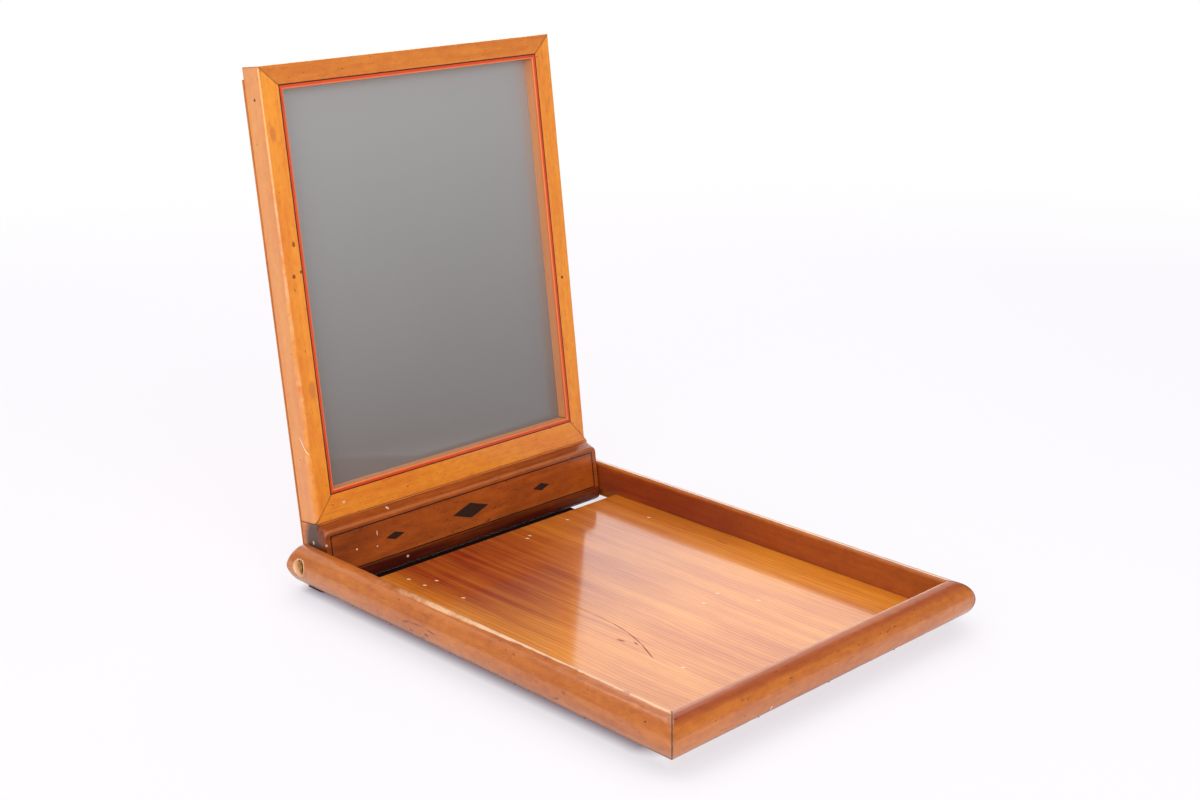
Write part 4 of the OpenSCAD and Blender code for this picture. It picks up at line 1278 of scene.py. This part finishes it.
# %% [markdown]
# ## The floor board
#
# One thin board fills the tray, let into grooves at the feet of the rails. It has dried
# and cupped by a tenth or two of a millimetre, which is what makes its reflections
# swim. The same outline and skin make it, with a fine grid on its top. Its polish has kept
# darker and redder at the rear, in the leaf's shade, and gone golden towards the front and
# in a strip beside the left rail.

# %% Floor board
EDGE_ROUND = 0.8 * MM
EDGE_WORN = 1.5 * MM
section, _ = outline([(-WALL_X - LAP, 0, 0, 0), (-WALL_X - LAP, FLOOR_T, 0, 0),
                      (WALL_X + LAP, FLOOR_T, 0, 0), (WALL_X + LAP, 0, 0, 0)], 3.5 * MM)
floor_length = floor_high.y - floor_low.y
rows, marks = [], []
for at in stations(floor_length, 3.5 * MM):
    u, v = section[:, 0], section[:, 1]
    near = max(0.0, EDGE_ROUND - (floor_length - at))
    drop = EDGE_ROUND - sqrt(EDGE_ROUND ** 2 - near ** 2)
    thinned = FLOOR_T / 2 + (v - FLOOR_T / 2) * (1 - drop / (FLOOR_T / 2))
    rows.append(np.stack([np.full(len(u), at), u, thinned], axis=1))
    marks.append(np.full(len(u), 0.5 if floor_length - at < EDGE_WORN else 0.0))
rings = np.array(rows)
grain = rings.copy()
top = rings[..., 2] > FLOOR_T * 0.9
rings[..., 2] -= top * uneven(rings, 0.35 * MM, 14, 5.0)
to_rear = ramp(grain[..., 0], 0.10, 0.235)
to_right = ramp(grain[..., 1], -0.03, 0.085)
by_left_rail = ramp(grain[..., 1], -0.062, -0.094)
stain = to_rear * (1 - 0.65 * to_right) * (1 - 0.85 * by_left_rail)
mesh = skin("floor_shaped", rings, grain, worn=np.array(marks), stain=stain)
mesh.transform(axes_at((0, floor_low.y, floor_low.z), (0, 1, 0), (1, 0, 0), (0, 0, 1)))
finish_mesh(mesh)
show("floor_shaped", mesh, FLOOR_WOOD, "tray", ["floor_board"])

# %% [markdown]
# ## Pins, by geometry nodes
#
# A pin is a shank with a low domed head. The tree sets one on every point it is given and
# turns it to face the way that the point's own mark says, so it could serve a surface of
# any shape. Here it serves the pins round the back board.

# %% Pin tree
def pin_tree():
    """A pin on every point, turned to face as the point says."""
    tree, given, end = geometry_tree("pins_on_points", (
        ("Geometry", GEOMETRY), ("Head", FLOAT), ("Dome", FLOAT), ("Shank", FLOAT), ("Length", FLOAT),
        ("Material", MATERIAL)))
    ball = put(tree, "GeometryNodeMeshUVSphere", {
        "Segments": 16, "Rings": 8, "Radius": given["Head"]}).outputs[0]
    squash = maths(tree, "DIVIDE", given["Dome"], given["Head"])
    flat = put(tree, "ShaderNodeCombineXYZ", {0: 1.0, 1: 1.0, 2: squash}).outputs[0]
    head = put(tree, "GeometryNodeTransform", {"Geometry": ball, "Scale": flat}).outputs[0]
    rod = put(tree, "GeometryNodeMeshCylinder", {
        "Vertices": 10, "Radius": given["Shank"], "Depth": given["Length"]}).outputs[0]
    down = put(tree, "ShaderNodeCombineXYZ", {2: maths(tree, "MULTIPLY", given["Length"], -0.5)}).outputs[0]
    shank = put(tree, "GeometryNodeTransform", {"Geometry": rod, "Translation": down}).outputs[0]
    joined = tree.nodes.new("GeometryNodeJoinGeometry")
    tree.links.new(head, joined.inputs[0])
    tree.links.new(shank, joined.inputs[0])
    facing = put(tree, "GeometryNodeInputNamedAttribute", {"Name": "facing"},
                 data_type="FLOAT_VECTOR").outputs[0]
    turned = put(tree, "FunctionNodeAlignEulerToVector", {"Vector": facing}, axis="Z").outputs[0]
    placed = put(tree, "GeometryNodeInstanceOnPoints", {
        "Points": given["Geometry"], "Instance": joined.outputs[0], "Rotation": turned}).outputs[0]
    finish_tree(tree, end, placed, given["Material"])
    return tree


PIN_TREE = pin_tree()
print("pin tree:", len(PIN_TREE.nodes), "nodes")

# %% [markdown]
# ## The pins of the back board
#
# Five pins hold each side of the back board and five more its foot, evenly spaced. Their
# heads are a quarter of a millimetre deep in the veneer.

# %% Back pins
PIN_IN = 4.8 * MM
PIN_SUNK = 0.25 * MM
SIDE_PINS, FOOT_PINS = 5, 5
_, back_high = leaf_box("back_board")
pin_x, pin_rise = HALF_LEAF - PIN_IN, (SIDE_HIGH - SIDE_LOW) / (SIDE_PINS + 1)
pin_places = [(side * pin_x, SIDE_LOW + i * pin_rise) for side in (-1, 1) for i in range(1, SIDE_PINS + 1)]
pin_places += [(pin_x * (2 * i / (FOOT_PINS - 1) - 1), SIDE_LOW / 2) for i in range(FOOT_PINS)]
base = bpy.data.meshes.new("back_pin_points")
base.from_pydata([tuple(LEAF @ Vector((x, back_high.y - PIN_SUNK, z))) for x, z in pin_places], [], [])
out = (LEAF.to_3x3() @ Vector((0, 1, 0))).normalized()
mark(base, "facing", "FLOAT_VECTOR", np.array([tuple(out)] * len(pin_places)))
mesh = grown(PIN_TREE, "back_pins_shaped", base, {
    "Head": 1.5 * MM, "Dome": 0.25 * MM, "Shank": 0.6 * MM, "Length": 8 * MM, "Material": IRON})
finish_mesh(mesh, 50)
show("back_pins_shaped", mesh, IRON, "leaf", ["back_board_pins"])

# %% [markdown]
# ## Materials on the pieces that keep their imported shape
#
# Straight strips, sheets and blocks need no new mesh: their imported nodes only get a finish.

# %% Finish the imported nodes
FINISHES = {
    "left_runner": RUNNER_WOOD, "right_runner": RUNNER_WOOD, "rear_batten": BATTEN_PAINTED_SHADE,
    "runner_screws": IRON, "tray_brads": IRON, "mitre_nails": IRON,
    "left_washer": BRASS, "right_washer": BRASS, "left_pivot_screw": BRASS, "right_pivot_screw": BRASS,
    "mirror_glass": MIRROR, "mirror_silvering": SILVER, "backing_paper": PAPER,
    "glue_blocks": BLOCK_WOOD, "back_board": BACK_WOOD, "foot_block": FOOT_WOOD,
    "dark_stringing": DARK_LINE, "plaque_border": INK_LINE, "plaque_lozenges": INK_LINE,
}
for node, material in FINISHES.items():
    slots = frame["nodes"][node].data.materials
    slots.clear()
    slots.append(material)
print("finished nodes:", len(FINISHES))

# %% [markdown]
# ## The studio
#
# The photograph was taken in a light tent: white all round, soft light from above, and a
# darker room behind the camera, which is what the mirror shows. The world gives each kind
# of ray its own answer: white for the camera, a plain level of light for the wood, and for
# reflections white at the back and grey in front.

# %% World
AMBIENT = 0.6
# The room's grey grows over the first span of heights and falls over the second
ROOM_LOW, ROOM_HIGH, ROOM_GROWS = 0.247, 0.43, (-0.168, 0.032)
ROOM_TOP, ROOM_FALLS = 0.36, (0.05, 0.25)
ROOM_SIDE, SIDE_SPAN = 0.93, (0.60, 0.74)
TENT_LEFT, LEFT_SPAN = 0.45, (-0.35, 0.0)

world = bpy.data.worlds.new("light_tent")
bpy.context.scene.world = world
world.use_nodes = True
tree = world.node_tree
tree.nodes.clear()
axis = split(tree, put(tree, "ShaderNodeTexCoord").outputs["Generated"])
behind = remap(tree, axis["Y"], 0.0, 0.2, smooth=True)
tent = maths(tree, "MAXIMUM", remap(tree, axis["X"], *LEFT_SPAN, TENT_LEFT, 1.0),
             remap(tree, axis["Z"], 0.0, 0.08, 1.0, 0.0))
room = maths(tree, "MULTIPLY", remap(tree, axis["Z"], *ROOM_GROWS, ROOM_LOW, ROOM_HIGH),
             remap(tree, axis["Z"], *ROOM_FALLS, 1.0, ROOM_TOP),
             remap(tree, axis["X"], *SIDE_SPAN, 1.0, ROOM_SIDE))
mirrored = blend_colour(tree, behind, room, tent)
ray = put(tree, "ShaderNodeLightPath").outputs
reflects = maths(tree, "MAXIMUM", ray["Is Glossy Ray"], ray["Is Transmission Ray"])
shade = blend_colour(tree, reflects, (AMBIENT, AMBIENT, AMBIENT * 1.01, 1), mirrored)
shade = blend_colour(tree, ray["Is Camera Ray"], shade, (1, 1, 1, 1))
light = put(tree, "ShaderNodeBackground", {"Color": shade, "Strength": 1.0})
put(tree, "ShaderNodeOutputWorld", {"Surface": light.outputs[0]})
print("world made")

# %% [markdown]
# ## The white table
#
# The tray stands on runners. The table has a painted shadow line under each side rail and a
# soft shadow haze round the whole. The table is a flat square that glows white for the
# camera, and its colour falls to a violet grey in that line and that haze. The line is a
# formula on the place, and the haze comes from an Ambient Occlusion node, so both stay with
# the tray. The table's rim fades out, so it meets the white world with no edge.

# %% Table
TABLE_REACH = 1.6
TABLE_WHITE, TABLE_SHADE = (0.985, 0.955, 1.0, 1), (0.15, 0.10, 0.14, 1)
DIFFUSE_SHARE = 0.2
HAZE_REACH, HAZE_DEPTH = 32 * MM, 0.16
# The painted shadow line: where it starts and fades out from the middle, and how dark it is
LINE_INNER, LINE_OUTER, LINE_DEPTH = (88 * MM, 94 * MM), (109 * MM, 127 * MM), 0.95
LINE_FRONT, LINE_FADE = (-162 * MM, -145 * MM), 12 * MM
LEFT_LINE_END, RIGHT_LINE_END = 152 * MM, 120 * MM
HAZE_FRONT, HAZE_SIDE = (-172 * MM, -160 * MM), (112 * MM, 120 * MM)


def table_shade(tree, place):
    """How dark the table is: a painted shadow line under each side rail, and a shadow haze round the tray."""
    spot = split(tree, place)
    beside = maths(tree, "ABSOLUTE", spot["X"])
    line_end = remap(tree, spot["X"], 0.0, 10 * MM, LEFT_LINE_END, RIGHT_LINE_END)
    past_end = maths(tree, "SUBTRACT", spot["Y"], line_end)
    line = maths(tree, "MULTIPLY", remap(tree, beside, *LINE_OUTER, 1.0, 0.0, smooth=True),
                 remap(tree, beside, *LINE_INNER), remap(tree, spot["Y"], *LINE_FRONT),
                 remap(tree, past_end, -LINE_FADE, 0.0, 1.0, 0.0), LINE_DEPTH)
    open_air = put(tree, "ShaderNodeAmbientOcclusion", {"Distance": HAZE_REACH}, samples=12).outputs["AO"]
    haze = remap(tree, open_air, 0.45, 0.97, HAZE_DEPTH, 0.0, smooth=True)
    outside = maths(tree, "MAXIMUM", fade(tree, spot["Y"], HAZE_FRONT), remap(tree, beside, *HAZE_SIDE))
    return maths(tree, "MAXIMUM", line, maths(tree, "MULTIPLY", haze, outside))


mesh = bpy.data.meshes.new("table")
mesh.from_pydata([(x * TABLE_REACH, y * TABLE_REACH, 0) for x, y in ((-1, -1), (1, -1), (1, 1), (-1, 1))],
                 [], [(0, 1, 2, 3)])
table = bpy.data.objects.new("table", mesh)
bpy.context.scene.collection.objects.link(table)
table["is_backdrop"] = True
material = bpy.data.materials.new("white_table")
material.use_nodes = True
tree = material.node_tree
tree.nodes.clear()
place = object_place(tree)
far = length_of(tree, place)
ray = put(tree, "ShaderNodeLightPath").outputs
tone = blend_colour(tree, table_shade(tree, place), TABLE_WHITE, TABLE_SHADE)
white = put(tree, "ShaderNodeBsdfDiffuse", {"Color": (0.9, 0.9, 0.9, 1)}).outputs[0]
lit = put(tree, "ShaderNodeEmission", {"Color": tone}).outputs[0]
seen = put(tree, "ShaderNodeMixShader", {0: DIFFUSE_SHARE, 1: lit, 2: white}).outputs[0]
solid = put(tree, "ShaderNodeMixShader", {0: ray["Is Camera Ray"], 1: white, 2: seen}).outputs[0]
clear = put(tree, "ShaderNodeBsdfTransparent").outputs[0]
rim = remap(tree, far, 0.9, 1.5, smooth=True)
glossy_rim = maths(tree, "MULTIPLY", remap(tree, far, 0.33, 0.48, smooth=True), ray["Is Glossy Ray"])
gone = maths(tree, "MAXIMUM", rim, glossy_rim, ray["Is Transmission Ray"])
surface = put(tree, "ShaderNodeMixShader", {0: gone, 1: solid, 2: clear}).outputs[0]
put(tree, "ShaderNodeOutputMaterial", {"Surface": surface})
mesh.materials.append(material)
print("table made")

# %% [markdown]
# ## Lamps
#
# Four soft lamps stand for the tent's lit walls. They are weak, so that the wood renders
# about as its colours are written. The one at the back shines across the floor board
# towards the camera, which doesn't see the lamp itself.

# %% Lamps
def softbox(name, place, size, power, aim=(0, 0, 0.1)):
    """A square area lamp that looks at a point."""
    lamp = bpy.data.lights.new(name, "AREA")
    lamp.shape = "SQUARE"
    lamp.size = size
    lamp.energy = power
    box = bpy.data.objects.new(name, lamp)
    box.location = place
    box.rotation_euler = (Vector(aim) - Vector(place)).to_track_quat("-Z", "Y").to_euler()
    bpy.context.scene.collection.objects.link(box)
    return box


softbox("top_softbox", (-0.3, 0.25, 1.5), 1.2, 7.0)
softbox("side_softbox", (-1.2, -0.5, 0.8), 0.8, 4.0)
softbox("front_softbox", (-0.5, -1.6, 1.1), 1.2, 14.0)
back = softbox("back_softbox", (0.95, 1.2, 0.8), 1.4, 6.8, aim=(0.05, -0.05, 0.0))
back.visible_camera = False
print("lamps made")

# %% [markdown]
# ## Sizes
#
# The box round everything is measured again and printed.

# %% Sizes, and the last line
low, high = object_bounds()
print("visual box", [round((b - a) / MM, 1) for a, b in zip(low, high)])
